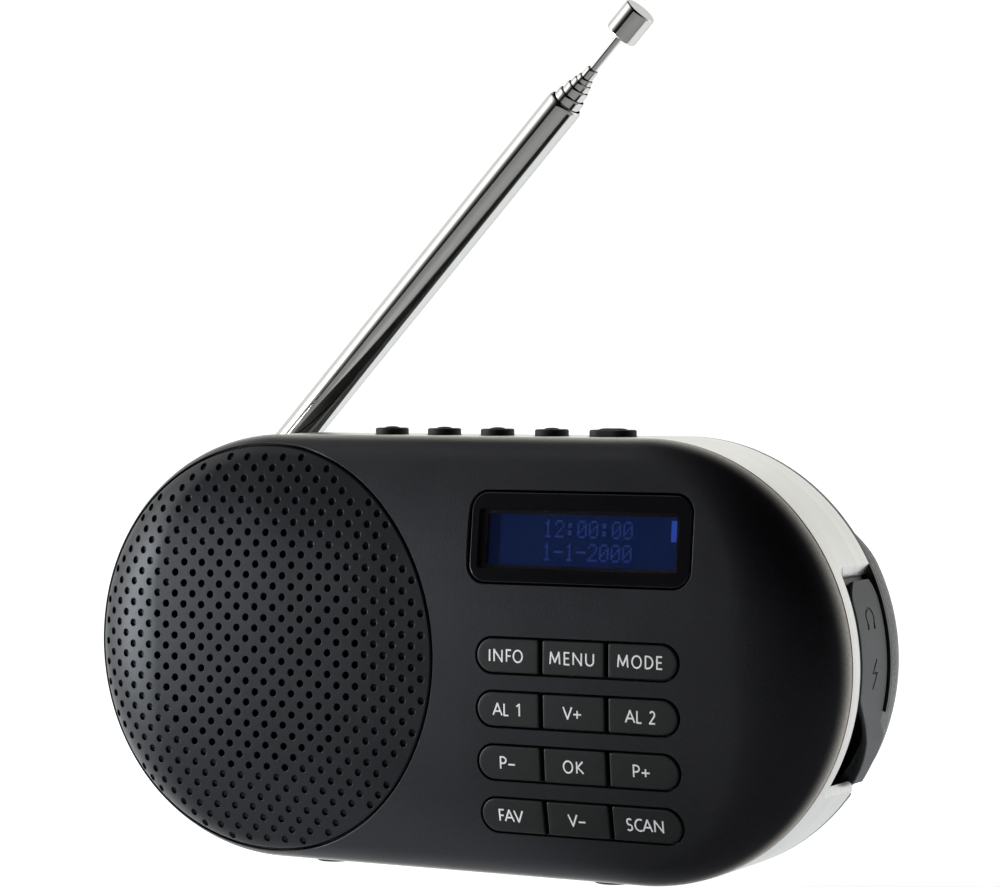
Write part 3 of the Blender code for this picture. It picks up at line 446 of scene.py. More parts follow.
class Shape:
    """Points in the case frame and the faces over them."""

    def __init__(self):
        self.points = []
        self.faces = []

    def row(self, points):
        first = len(self.points)
        self.points.extend(points)
        return list(range(first, len(self.points)))

    def skin(self, one, two, closed=True):
        count = len(one)
        for index in range(count if closed else count - 1):
            after = (index + 1) % count
            self.faces.append((one[index], one[after], two[after], two[index]))

    def loft(self, rows, hoop=False):
        """Skin a stack of rows; hoop joins the last row to the first, instead of closing both ends."""
        indices = [self.row(points) for points in rows]
        for one, two in zip(indices, indices[1:]):
            self.skin(one, two)
        if hoop:
            self.skin(indices[-1], indices[0])
        else:
            self.faces.append(tuple(indices[0]))
            self.faces.append(tuple(reversed(indices[-1])))

    def build(self, name, finish=None, transform=None):
        """Link the shape as a mesh object in the row frame, with its faces pointing outward."""
        mesh = bpy.data.meshes.new(name)
        points = [transform @ Vector(point) for point in self.points] if transform else self.points
        mesh.from_pydata([place(*point) for point in points], [], self.faces)
        work = bmesh.new()
        work.from_mesh(mesh)
        bmesh.ops.remove_doubles(work, verts=work.verts, dist=1e-7)
        bmesh.ops.recalc_face_normals(work, faces=work.faces)
        work.to_mesh(mesh)
        work.free()
        if finish:
            mesh.materials.append(MATERIALS[finish])
        return link_object(name, mesh)


def lofted(name, rows, finish=None, transform=None, hoop=False):
    shape = Shape()
    shape.loft(rows, hoop)
    return shape.build(name, finish, transform)


def bar(name, centre, sections, steps):
    """Round bar along Y through a centre (x, z), from (radius, y) sections."""
    return lofted(name, [shifted(circle(radius, steps), centre, y) for radius, y in sections])


def ring_band(name, profile, finish):
    """Band round the whole case, from a closed (radius, y) profile."""
    rows = [[(x, y, z) for x, z in stadium(END_X, radius)] for radius, y in profile]
    return lofted(name, rows, finish, hoop=True)


def carve(item, tools, operation="DIFFERENCE"):
    """Apply one exact boolean for each tool, then delete the tools."""
    for tool in tools:
        modifier = item.modifiers.new(tool.name, "BOOLEAN")
        modifier.operation = operation
        modifier.solver = "EXACT"
        modifier.object = tool
    bpy.context.view_layer.update()
    shaped = item.evaluated_get(bpy.context.evaluated_depsgraph_get())
    mesh = bpy.data.meshes.new_from_object(shaped)
    item.modifiers.clear()
    spare = item.data
    item.data = mesh
    bpy.data.meshes.remove(spare)
    for tool in tools:
        spare = tool.data
        bpy.data.objects.remove(tool)
        bpy.data.meshes.remove(spare)
    return item


def smooth(item, angle=32.0):
    """Smooth shading that keeps the edges above angle sharp and large faces flat."""
    item.data.shade_smooth()
    item.data.set_sharp_from_angle(angle=math.radians(angle))
    weighted = item.modifiers.new("weighted_normals", "WEIGHTED_NORMAL")
    weighted.keep_sharp = True
    return item


def show(item, body, slot, *nodes):
    """Put a finished piece on its CAD body, in place of the nodes that it stands for."""
    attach(item, body)
    if nodes:
        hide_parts(*nodes)
    return item


# ---------------------------------------------------------------- outlines
def stadium(half_length, radius, arc_steps=ARC_STEPS, straight_steps=STRAIGHT_STEPS):
    points = []
    for side in (1.0, -1.0):
        for step in range(arc_steps + 1):
            angle = math.pi * (0.5 * side - step / arc_steps)
            points.append((side * half_length + radius * math.cos(angle), radius * math.sin(angle)))
        for step in range(1, straight_steps):
            points.append((side * half_length * (1.0 - 2.0 * step / straight_steps), -side * radius))
    return points


def rounded_box(width, height, corner, corner_steps=10):
    points = []
    for quarter, (side_x, side_z) in enumerate(((1, 1), (-1, 1), (-1, -1), (1, -1))):
        for step in range(corner_steps + 1):
            angle = math.pi / 2.0 * (quarter + step / corner_steps)
            x = side_x * (width / 2.0 - corner) + corner * math.cos(angle)
            z = side_z * (height / 2.0 - corner) + corner * math.sin(angle)
            points.append((x, z))
    return points


def grown_box(size, corner):
    """Outline function of a rounded box; it takes how far the box grows."""

    def outline(grow):
        return rounded_box(size[0] + 2.0 * grow, size[1] + 2.0 * grow, corner + grow)

    return outline


def turns_between(start, stop, steps):
    """Angles in radians from start to stop, which are in degrees, with both ends."""
    return [math.radians(start + (stop - start) * step / steps) for step in range(steps + 1)]


def circle(radius, steps):
    turns = turns_between(0.0, 360.0, steps)[:-1]
    return [(radius * math.cos(turn), radius * math.sin(turn)) for turn in turns]








def quarter_round(radius, steps=4):
    """(inset, drop) pairs of a rounded edge, from the wall up to the face."""
    turns = turns_between(0.0, 90.0, steps)
    return [(radius * (1.0 - math.cos(turn)), radius * (1.0 - math.sin(turn))) for turn in turns]


# ---------------------------------------------------------------- the front surface
def crown(z):
    ratio = z / CROWN_SCALE
    return CROWN_SQUARE * ratio**2 + CROWN_FOURTH * ratio**4


def face_y(x, z):
    """Front surface: crowned from top to bottom, and rolled back to the seam along its outline."""
    beyond = max(abs(x) - END_X, 0.0)
    reach = math.hypot(beyond, z)
    inset = CASE_RADIUS - reach
    end_share = (beyond / reach) ** 2 if reach > 1e-6 else 0.0
    roll = ROLL_AT_TOP + (ROLL_AT_ENDS - ROLL_AT_TOP) * end_share
    if inset >= roll:
        return crown(z)
    drop = SEAM_Y - crown(CASE_RADIUS * z / reach)
    rise = max(0.0, 1.0 - ((roll - inset) / roll) ** 2)
    return crown(z) + drop * (1.0 - math.sqrt(rise))


def face_ring(inset, setback=None):
    ring = []
    for x, z in stadium(END_X, CASE_RADIUS - inset):
        ring.append((x, face_y(x, z) + (setback(x, z) if setback else 0.0), z))
    return ring


def flat_ring(inset, y):
    return [(x, y, z) for x, z in stadium(END_X, CASE_RADIUS - inset)]


def opening(name, outline, centre, edge=EDGE):
    """Tool for an opening in the face, with a rounded edge; outline takes how far it grows."""

    def ring(grow, drop):
        return [(x, face_y(x, z) + drop, z) for x, _, z in shifted(outline(grow), centre, 0.0)]

    rows = [shifted(outline(0.0), centre, TOOL_BACK_Y)]
    rows += [ring(inset, drop) for inset, drop in quarter_round(edge)[:-1]]
    rows.append(ring(edge, -TOOL_PAST))
    rows.append(shifted(outline(edge), centre, TOOL_FRONT_Y))
    return lofted(name, rows)


# ---------------------------------------------------------------- front cover
def front_cover():
    """Shell from the middle of its face out to the seam, round its lip, and back inside."""
    rows = 36
    crowding = 2.2
    centre_inset = 45.4
    edge = 0.15
    lip_inner = 3.5
    lip_y = SEAM_Y + 1.8
    rings = [face_ring(centre_inset * (1.0 - row / rows) ** crowding) for row in range(rows)]
    rings += [flat_ring(0.0, SEAM_Y - edge), flat_ring(edge, SEAM_Y), flat_ring(LIP_INSET, SEAM_Y)]
    rings += [flat_ring(LIP_INSET, lip_y), flat_ring(lip_inner, lip_y)]

    def thickness(x, z):
        beside_grille = math.hypot(x + END_X, z) < CASE_RADIUS
        return WALL + (GRILLE_SEAT_DEPTH if beside_grille else 0.0)

    insets = (lip_inner, 5.0, 8.0, 14.0, 22.0, 34.0, centre_inset)
    rings += [face_ring(inset, thickness) for inset in insets]
    cover = lofted("front_cover_shell", rings, "soft_black")
    sound_sections = [(SOUND_OPENING_RADIUS, y) for y in (TOOL_FRONT_Y, TOOL_BACK_Y)]
    tools = [grille_seat(), bar("cut_sound_opening", (-END_X, 0.0), sound_sections, 96)]
    window = grown_box(WINDOW_SIZE, WINDOW_CORNER)
    tools.append(opening("cut_window", lambda grow: window(WINDOW_GAP + grow), WINDOW_CENTRE))
    radius = KEY_SLOT_HEIGHT / 2.0
    half = (KEY_SLOT[1] - KEY_SLOT[0]) / 2.0 - radius
    for row in range(len(KEY_LEGENDS)):
        centre = (sum(KEY_SLOT) / 2.0, key_row_z(row))
        name = "cut_key_slot_%d" % row
        tools.append(opening(name, lambda grow: stadium(half, radius + grow, 24, 16), centre, 0.22))
    carve(cover, tools)
    show(smooth(cover), "case", "soft_black", "front_cover")


def grille_seat():
    """Tool for the round recess that the grille lies in; its floor follows the face."""
    steps = 160

    def ring(radius, drop):
        return [(x - END_X, face_y(x - END_X, z) + drop, z) for x, z in circle(radius, steps)]

    radii = (0.5, 12.0, 22.0, 30.0, 36.0, 40.0, 42.5, GRILLE_SEAT_RADIUS)
    rows = [ring(radius, GRILLE_SEAT_DEPTH) for radius in radii]
    rows += [ring(GRILLE_SEAT_RADIUS + inset, drop) for inset, drop in quarter_round(EDGE)[:-1]]
    outer = GRILLE_SEAT_RADIUS + EDGE
    rows.append(ring(outer, -TOOL_PAST))
    rows.append(shifted(circle(outer, steps), (-END_X, 0.0), TOOL_FRONT_Y))
    return lofted("cut_grille_seat", rows)





# ---------------------------------------------------------------- perforated grille
def hole_centres():
    """Square lattice turned by 45 degrees: every second point of a grid at the half pitch."""
    reach = int(GRILLE_RADIUS / HOLE_PITCH) + 1
    for i in range(-reach, reach + 1):
        for j in range(-reach, reach + 1):
            x, z = i * HOLE_PITCH, j * HOLE_PITCH
            if math.hypot(x, z) <= HOLE_FIELD_RADIUS:
                yield x, z, (i + j) % 2 == 0


def on_grille(x, z, depth):
    """Point at a depth below the grille's front; x and z are from the grille's centre."""
    return (x - END_X, face_y(x - END_X, z) + GRILLE_SINK + depth, z)


def grille_sheet(shape, centres, radius, spots, rim_radius, depth):
    """Add a disc without its holes at one depth; returns the hole rings and the rim as point indices."""
    points = []
    edges = []
    loops = []
    rings = [(x, z, radius, HOLE_STEPS) for x, z in centres]
    rings.append((0.0, 0.0, rim_radius, RIM_STEPS))
    for centre_x, centre_z, reach, steps in rings:
        first = len(points)
        points.extend((centre_x + x, centre_z + z) for x, z in circle(reach, steps))
        loops.append(range(first, first + steps))
        edges.extend((first + k, first + (k + 1) % steps) for k in range(steps))
    corners_in = [Vector(spot) for spot in points + spots]
    flat, _, triangles, *_ = delaunay_2d_cdt(corners_in, edges, [], 0, 1e-6, False)
    base = len(shape.points)
    shape.points.extend(on_grille(x, z, depth) for x, z in flat)
    inside_ring = radius * math.cos(1.5 * math.pi / HOLE_STEPS)
    found = {(round(x / HOLE_PITCH), round(z / HOLE_PITCH)): (x, z) for x, z in centres}
    for corners in triangles:
        x = sum(flat[k][0] for k in corners) / 3.0
        z = sum(flat[k][1] for k in corners) / 3.0
        column, row = round(x / HOLE_PITCH), round(z / HOLE_PITCH)
        near = [found.get((column + i, row + j)) for i in (-1, 0, 1) for j in (-1, 0, 1)]
        if not any(spot and math.hypot(x - spot[0], z - spot[1]) < inside_ring for spot in near):
            shape.faces.append(tuple(base + k for k in corners))
    return [[base + k for k in loop] for loop in loops]


def drill_hole(shape, centre, upper, lower_ring):
    """Add the wall of one hole, through to lower_ring, or down to a round bottom where there is none."""
    levels = [(HOLE_RADIUS + 0.04, 0.05), (HOLE_RADIUS, HOLE_CHAMFER)]
    if not lower_ring:
        levels += [(HOLE_RADIUS, 0.5), (HOLE_RADIUS * 0.82, 0.7), (HOLE_RADIUS * 0.5, 0.8)]
    for radius, depth in levels:
        points = [on_grille(centre[0] + x, centre[1] + z, depth) for x, z in circle(radius, HOLE_STEPS)]
        lower = shape.row(points)
        shape.skin(upper, lower)
        upper = lower
    if lower_ring:
        shape.skin(upper, lower_ring)
    else:
        shape.faces.append(tuple(upper))


def speaker_grille():
    """Curved disc with open holes over the speaker and shallow round-bottomed ones around them."""
    rim_edge = 0.5
    shape = Shape()
    drilled = [(x, z) for x, z, hole in hole_centres() if hole]
    between = [(x, z) for x, z, hole in hole_centres() if not hole]
    through = [(x, z) for x, z in drilled if math.hypot(x, z) <= OPEN_FIELD_RADIUS]
    front = (HOLE_RADIUS + HOLE_CHAMFER, between, GRILLE_RADIUS - rim_edge, 0.0)
    *front_rings, upper = grille_sheet(shape, drilled, *front)
    back = (HOLE_RADIUS, [], GRILLE_RADIUS, GRILLE_THICKNESS)
    *back_rings, back_rim = grille_sheet(shape, through, *back)
    back_of = dict(zip(through, back_rings))
    for centre, ring in zip(drilled, front_rings):
        drill_hole(shape, centre, ring, back_of.get(centre))
    for inset, drop in reversed(quarter_round(rim_edge)[:-1]):
        lower = shape.row([on_grille(x, z, drop) for x, z in circle(GRILLE_RADIUS - inset, RIM_STEPS)])
        shape.skin(upper, lower)
        upper = lower
    shape.skin(upper, back_rim)
    grille = shape.build("speaker_grille_perforated", "grille_black")
    grille.data.shade_smooth()
    grille.data.set_sharp_from_angle(angle=math.radians(50.0))
    use_face_normals(grille)
    show(grille, "case", "grille_black", "speaker_grille")


def use_face_normals(grille):
    """Give the perforated surface the normals of the smooth face that it follows."""
    mesh = grille.data
    reach = 0.2
    surface = {}
    for face in mesh.polygons:
        if len(face.vertices) == 3:
            for index in face.vertices:
                if index not in surface:
                    spot = (mesh.vertices[index].co - place(0.0, 0.0, 0.0)) / MM
                    across = face_y(spot.x + reach, spot.z) - face_y(spot.x - reach, spot.z)
                    along = face_y(spot.x, spot.z + reach) - face_y(spot.x, spot.z - reach)
                    facing = -1.0 if spot.y - face_y(spot.x, spot.z) < GRILLE_SINK + 0.1 else 1.0
                    slope = Vector((across, -2.0 * reach, along)).normalized()
                    surface[index] = -facing * slope
    automatic = Vector((0.0, 0.0, 0.0))
    mesh.normals_split_custom_set([surface.get(loop.vertex_index, automatic) for loop in mesh.loops])


# ---------------------------------------------------------------- display
def plate_transform(depth):
    """From a tilted plate's own X, Y (into the case), Z to the case frame."""
    spot = Vector((WINDOW_CENTRE[0], WINDOW_FRONT_Y, WINDOW_CENTRE[1]))
    turn = Matrix.Rotation(-WINDOW_TILT, 4, "X")
    return Matrix.Translation(spot) @ turn @ Matrix.Translation(Vector((0.0, depth, 0.0)))


def shifted(outline, centre, y):
    return [(x + centre[0], y, z + centre[1]) for x, z in outline]


def display_window():
    """Clear plate, printed black from behind around its aperture."""
    edge = 0.25
    aperture = rounded_box(DISPLAY_SIZE[0] + 2.6, DISPLAY_SIZE[1] + 1.8, 0.8)
    outline = grown_box(WINDOW_SIZE, WINDOW_CORNER)
    sections = [(-edge, WINDOW_THICKNESS), (0.0, WINDOW_THICKNESS - edge)]
    sections += [(-inset, drop) for inset, drop in quarter_round(edge)]
    rows = [shifted(aperture, DISPLAY_OFFSET, WINDOW_THICKNESS)]
    rows += [shifted(outline(grow), (0.0, 0.0), y) for grow, y in sections]
    rows.append(shifted(aperture, DISPLAY_OFFSET, 0.0))
    window = lofted("display_window_plate", rows, "window_black", plate_transform(0.0))
    window.data.materials.append(MATERIALS["window_clear"])
    for face in window.data.polygons:
        if len(face.vertices) == len(aperture):
            face.material_index = 1
    show(smooth(window), "case", "window_black", "display_window")


DOT_FONT = {
    "0": "01110 10001 10011 10101 11001 10001 01110",
    "1": "00100 01100 00100 00100 00100 00100 01110",
    "2": "01110 10001 00001 00010 00100 01000 11111",
    ":": "00000 01100 01100 00000 01100 01100 00000",
    "-": "00000 00000 00000 11111 00000 00000 00000",
}


def box_rows(x_span, y_span, z_span):
    corners = ((0, 0), (1, 0), (1, 1), (0, 1))
    return [[(x_span[a], y, z_span[b]) for a, b in corners] for y in y_span]


def display_module():
    """Bezel, the lit film with a painted shade strip on its left, the two lines of dots and the bright
    block.
    """
    width, height = DISPLAY_SIZE
    centre_x, centre_z = DISPLAY_OFFSET
    low_z, high_z = centre_z - height / 2.0, centre_z + height / 2.0
    left, right = centre_x - width / 2.0, centre_x + width / 2.0
    edge = 0.1
    front, back = WINDOW_THICKNESS + 0.45, DISPLAY_DEPTH + 1.8
    inner = rounded_box(width, height, 0.4)
    rim = rounded_box(width + 2.0 * edge, height + 2.0 * edge, 0.5)
    outer = rounded_box(*MODULE_SIZE, 0.6)
    sections = ((inner, back), (inner, front + edge), (rim, front), (outer, front), (outer, back))
    rows = [shifted(outline, DISPLAY_OFFSET, y) for outline, y in sections]
    bezel = lofted("display_bezel", rows, "bezel_black", plate_transform(0.0), hoop=True)
    show(smooth(bezel), "case", "display_blue", "display_module")

    def slab(name, finish, x_span, z_span, y=0.35):
        rows = box_rows(x_span, (y, y + 0.15), z_span)
        show(lofted(name, rows, finish, plate_transform(DISPLAY_DEPTH)), "case", "display_blue")

    strip = left + 2.6
    slab("display_film", "display_navy", (strip, right), (low_z, high_z))
    # painted shade: the film's left strip glows less, in place of the shade cast by the window's inner wall
    slab("display_film_painted_shade", "display_painted_shade", (left, strip), (low_z, high_z))
    block_x, block_z = (right - 1.65, right - 0.1), (high_z - 4.9, high_z - 0.6)
    slab("display_signal_block", "display_bright", block_x, block_z, 0.25)
    display_digits(left + 12.6, high_z - 1.0)


def display_digits(first_x, first_z):
    """The two lines of raised dots on the film."""
    pitch, line_pitch = 2.63, 4.75
    cell_x, cell_z = 0.44, 0.53
    fill = 0.86
    dots = Shape()
    for line, text in enumerate(DISPLAY_LINES):
        for place_in_line, character in enumerate(text):
            for row, bits in enumerate(DOT_FONT[character].split()):
                z = first_z - line_pitch * line - cell_z * row
                for column in (index for index, bit in enumerate(bits) if bit == "1"):
                    x = first_x + pitch * place_in_line + cell_x * column
                    dots.loft(box_rows((x, x + cell_x * fill), (0.2, 0.3), (z - cell_z * fill, z)))
    item = dots.build("display_digits", "display_dots", plate_transform(DISPLAY_DEPTH))
    show(item, "case", "display_blue")


# ---------------------------------------------------------------- keypad
def key_row_z(row):
    return KEY_ROW_TOP_Z - KEY_ROW_PITCH * row


def key_outline(column, shrink):
    """Outline of one key about the row's centre line; the outer keys have a round end."""
    steps = 10
    half = KEY_SLOT_HEIGHT / 2.0 - KEY_CLEARANCE - shrink
    left = KEY_SLOT[0] + KEY_CLEARANCE + shrink
    right = KEY_SLOT[1] - KEY_CLEARANCE - shrink
    if column > 0:
        left = KEY_DIVIDERS[column - 1] + KEY_GAP / 2.0 + shrink
    if column < 2:
        right = KEY_DIVIDERS[column] - KEY_GAP / 2.0 - shrink
    small = min(KEY_CORNER, half)
    left_corner = half if column == 0 else small
    right_corner = half if column == 2 else small
    quarters = (
        (90.0, right - right_corner, right_corner, 1.0),
        (0.0, right - right_corner, right_corner, -1.0),
        (-90.0, left + left_corner, left_corner, -1.0),
        (-180.0, left + left_corner, left_corner, 1.0),
    )
    points = []
    for start, centre_x, corner, side in quarters:
        centre_z = side * (half - corner + KEY_STRAIGHT)
        points += arc(centre_x, centre_z, corner, corner, start, start - 90.0, steps)
    return points


def keys():
    for row, names in enumerate(KEY_LEGENDS):
        centre_z = key_row_z(row)
        for column, (node, legend) in enumerate(names):
            show(smooth(key_cap(node, column, centre_z)), node, "key_black", node)
            key_legend(node, legend, LEGEND_X[column], centre_z)


def key_cap(node, column, centre_z):
    """Key with a rounded edge and a face that follows the cover's crown."""
    centre = (0.0, centre_z)

    def ring(shrink, drop):
        points = shifted(key_outline(column, shrink), centre, drop - KEY_PROUD)
        return [(x, crown(z) + y, z) for x, y, z in points]

    rows = [shifted(key_outline(column, 0.0), centre, KEY_BACK_Y)]
    rows += [ring(inset, drop) for inset, drop in quarter_round(KEY_EDGE)]
    rows += [ring(shrink, 0.0) for shrink in (0.8, 1.5, 2.2, 2.8, 3.3)]
    return lofted(node + "_cap", rows, "key_black")


def arc(centre_x, centre_z, radius_x, radius_z, start, stop, steps=14):
    turns = turns_between(start, stop, steps)
    return [(centre_x + radius_x * math.cos(turn), centre_z + radius_z * math.sin(turn)) for turn in turns]


# Each letter: space before it, width, space after it, and its strokes, in heights of the centre lines.
GLYPHS = {
    "I": (0.22, 0.0, 0.22, [[(0.0, 0.0), (0.0, 1.0)]]),
    "N": (0.22, 0.76, 0.22, [[(0.0, 0.0), (0.0, 1.0), (0.76, 0.0), (0.76, 1.0)]]),
    "F": (0.22, 0.42, 0.06, [[(0.0, 0.0), (0.0, 1.0), (0.42, 1.0)], [(0.0, 0.5), (0.38, 0.5)]]),
    "O": (0.18, 0.84, 0.18, [arc(0.42, 0.5, 0.42, 0.5, 90.0, 450.0, 32)]),
    "M": (0.22, 0.92, 0.22, [[(0.0, 0.0), (0.08, 1.0), (0.46, 0.16), (0.84, 1.0), (0.92, 0.0)]]),
    "E": (
        *(0.22, 0.46, 0.16),
        [[(0.46, 0.0), (0.0, 0.0), (0.0, 1.0), (0.46, 1.0)], [(0.0, 0.52), (0.42, 0.52)]],
    ),
    "U": (0.22, 0.7, 0.22, [[(0.0, 1.0), *arc(0.35, 0.35, 0.35, 0.35, 180.0, 360.0), (0.7, 1.0)]]),
    "D": (0.22, 0.66, 0.18, [[(0.0, 0.0), (0.0, 1.0), *arc(0.2, 0.5, 0.46, 0.5, 90.0, -90.0), (0.0, 0.0)]]),
    "A": (0.03, 0.84, 0.03, [[(0.0, 0.0), (0.42, 1.0), (0.84, 0.0)], [(0.16, 0.34), (0.68, 0.34)]]),
    "L": (0.2, 0.4, 0.06, [[(0.0, 1.0), (0.0, 0.0), (0.4, 0.0)]]),
    "V": (0.03, 0.82, 0.03, [[(0.0, 1.0), (0.41, 0.0), (0.82, 1.0)]]),
    "C": (0.14, 0.62, 0.08, [arc(0.44, 0.5, 0.44, 0.5, 62.0, 298.0, 24)]),
    "S": (
        *(0.14, 0.5, 0.14),
        [arc(0.26, 0.74, 0.22, 0.26, 40.0, 262.0) + arc(0.24, 0.24, 0.25, 0.25, 82.0, -142.0)],
    ),
    "P": (
        *(0.22, 0.52, 0.12),
        [[(0.0, 0.0), (0.0, 1.0), *arc(0.24, 0.73, 0.28, 0.27, 90.0, -90.0), (0.0, 0.46)]],
    ),
    "K": (
        *(0.22, 0.62, 0.04),
        [[(0.0, 0.0), (0.0, 1.0)], [(0.56, 1.0), (0.06, 0.5)], [(0.06, 0.54), (0.62, 0.0)]],
    ),
    "1": (0.12, 0.28, 0.1, [[(0.0, 0.8), (0.28, 1.0), (0.28, 0.0)]]),
    "2": (0.1, 0.5, 0.1, [[*arc(0.24, 0.74, 0.22, 0.26, 155.0, -30.0), (0.0, 0.0), (0.5, 0.0)]]),
    "+": (0.1, 0.74, 0.1, [[(0.0, 0.4), (0.74, 0.4)], [(0.37, 0.07), (0.37, 0.73)]]),
    "-": (0.1, 0.64, 0.1, [[(0.0, 0.38), (0.64, 0.38)]]),
    " ": (0.0, 0.6, 0.0, []),
}


def split_at_corners(stroke):
    """Cut a stroke at its sharp corners and let the runs overlap there, so that each keeps its width."""
    sharp = math.radians(35.0)
    overlap = 0.045
    runs = [[Vector(stroke[0])]]
    for index in range(1, len(stroke)):
        point = Vector(stroke[index])
        runs[-1].append(point)
        if index < len(stroke) - 1:
            before = point - Vector(stroke[index - 1])
            after = Vector(stroke[index + 1]) - point
            if before.length > 0.0 and after.length > 0.0 and before.angle(after) > sharp:
                runs[-1][-1] = point + before.normalized() * overlap
                runs.append([point - after.normalized() * overlap])
    return runs


def key_legend(node, words, x, z):
    """Printed legend: low rounded strokes that lie on the key's face."""
    unit = (LEGEND_HEIGHT - LEGEND_STROKE) * MM
    length = sum(sum(GLYPHS[letter][:3]) for letter in words)
    first, last = GLYPHS[words[0]], GLYPHS[words[-1]]
    pen = -0.5 * (length + first[0] - last[2])
    lines = bpy.data.curves.new(node + "_legend", "CURVE")
    lines.dimensions = "3D"
    lines.bevel_depth = LEGEND_STROKE / 2.0 * MM
    lines.bevel_resolution = 2
    lines.use_fill_caps = True
    for letter in words:
        before, width, after, strokes = GLYPHS[letter]
        pen += before
        for run in (run for stroke in strokes for run in split_at_corners(stroke)):
            spline = lines.splines.new("POLY")
            spline.points.add(len(run) - 1)
            for point, (across, up) in zip(spline.points, run):
                point.co = ((pen + across) * unit, (up - 0.5) * unit, 0.0, 1.0)
        pen += width + after
    lines.materials.append(MATERIALS["legend"])
    item = link_object(node + "_legend", lines)
    slope = math.atan((crown(z + 1.0) - crown(z - 1.0)) / 2.0)
    flatten = Matrix.Diagonal((1.0, 1.0, 2.0 * LEGEND_RISE / LEGEND_STROKE, 1.0))
    lie = Matrix.Rotation(math.radians(90.0) - slope, 4, "X")
    item.matrix_world = Matrix.Translation(place(x, crown(z) - KEY_PROUD, z)) @ lie @ flatten
    show(item, node, "key_black")


# ---------------------------------------------------------------- silver band, buttons
def trim_band():
    """Brushed hoop with a bronze painted highlight on its front edge and a painted shadow on its rear edge,
    open for the port and the buttons.
    """
    edge = 0.25
    rounding = quarter_round(edge)
    profile = [(BAND_INNER, BAND_BACK_Y), (BAND_INNER, BAND_FRONT_Y)]
    profile += [(CASE_RADIUS - inset, BAND_FRONT_Y + drop) for inset, drop in reversed(rounding)]
    profile += [(CASE_RADIUS - inset, BAND_BACK_Y - drop) for inset, drop in rounding]
    band = ring_band("trim_band_brushed", profile, "silver")
    hole = BUTTON_RADIUS + BUTTON_CLEARANCE
    spots = [("cut_button_%d" % index, circle(hole, 64), x) for index, x in enumerate(BUTTON_X)]
    spots.append(("cut_button_oval", stadium(OVAL_BUTTON_HALF, hole, 24, 4), OVAL_BUTTON_X))
    tools = [port_notch()]
    for name, outline, x in spots:
        tools.append(lofted(name, [upright(outline, x, z) for z in BUTTON_HOLE_Z]))
    carve(band, tools)
    # painted highlight: the front edge's bronze tint stands in for the warm glow along the seam
    band.data.materials.append(MATERIALS["seam_painted_highlight"])
    # painted shadow: the band's rear edge is made dark in place of the shadow gap before the rear cover
    band.data.materials.append(MATERIALS["painted_gap_shadow"])
    front = FRONT_Y + (BAND_FRONT_Y + edge * 0.45) * MM
    back = FRONT_Y + (BAND_BACK_Y - edge) * MM
    for face in band.data.polygons:
        if face.center.y < front:
            face.material_index = 1
        elif face.center.y > back:
            face.material_index = 2
    show(smooth(band), "case", "brushed_silver", "trim_band")


def upright(outline, x, z):
    """Row of a top button or its hole, at one height."""
    return [(x + px, BUTTON_Y + py, z) for px, py in outline]


def arc_point(radius, angle, y):
    turn = math.radians(angle)
    return (END_X + radius * math.cos(turn), y, radius * math.sin(turn))


def port_notch():
    """Tool for the port opening: open at the band's rear edge, round corners, bevelled sides."""
    shape = Shape()
    steps = 56
    rows = []
    for radius, grow in ((BAND_INNER - 0.4, -0.25), (CASE_RADIUS + 0.4, 1.25)):
        top = PORT_ANGLES[0] + PORT_BEVEL_ANGLES[0] * grow
        bottom = PORT_ANGLES[1] + PORT_BEVEL_ANGLES[1] * grow
        front = PORT_FRONT_Y - PORT_BEVEL * grow
        front_row = []
        back_row = []
        for step in range(steps + 1):
            share = 0.5 - 0.5 * math.cos(math.pi * step / steps)
            angle = top + (bottom - top) * share
            from_end = math.radians(min(top - angle, angle - bottom)) * radius
            inside = max(0.0, PORT_CORNER - from_end)
            rounding = PORT_CORNER - math.sqrt(PORT_CORNER**2 - inside**2)
            front_row.append(arc_point(radius, angle, front + rounding))
            back_row.append(arc_point(radius, angle, BAND_BACK_Y + 3.0))
        rows += [front_row, back_row]
    inner_front, inner_back, outer_front, outer_back = [shape.row(row) for row in rows]
    cycle = (inner_front, inner_back, outer_back, outer_front, inner_front)
    for one, two in zip(cycle, cycle[1:]):
        shape.skin(one, two, closed=False)
    for end in (0, steps):
        shape.faces.append((inner_front[end], inner_back[end], outer_back[end], outer_front[end]))
    return shape.build("cut_port_notch")


def top_buttons():
    """Rubber buttons with a soft upper edge and a small raised dot."""
    mark_radius, mark_height, mark_foot = 1.6, 0.3, 0.04
    profile = [(BUTTON_RADIUS, BUTTON_FOOT_Z)]
    profile += [(BUTTON_RADIUS - inset, BUTTON_TOP_Z - drop) for inset, drop in quarter_round(0.35)]
    profile += [(mark_radius + 0.15, BUTTON_TOP_Z), (mark_radius, BUTTON_TOP_Z + mark_foot)]
    for share in (0.35, 0.65, 0.88, 1.0):
        radius = mark_radius * math.sqrt(1.02 - share**2)
        profile.append((radius, BUTTON_TOP_Z + mark_foot + mark_height * share))
    spots = [(x, lambda radius: circle(radius, 56)) for x in BUTTON_X]
    spots.append((OVAL_BUTTON_X, lambda radius: stadium(OVAL_BUTTON_HALF, radius, 24, 4)))
    for index, (x, outline) in enumerate(spots):
        node = "top_button_%d" % (index + 1)
        rows = [upright(outline(radius), x, z) for radius, z in profile]
        show(smooth(lofted(node + "_cap", rows, "button_rubber")), node, "button_rubber", node)


# ---------------------------------------------------------------- port flap
def share_of(value, start, end):
    return min(1.0, max(0.0, (value - start) / (end - start)))


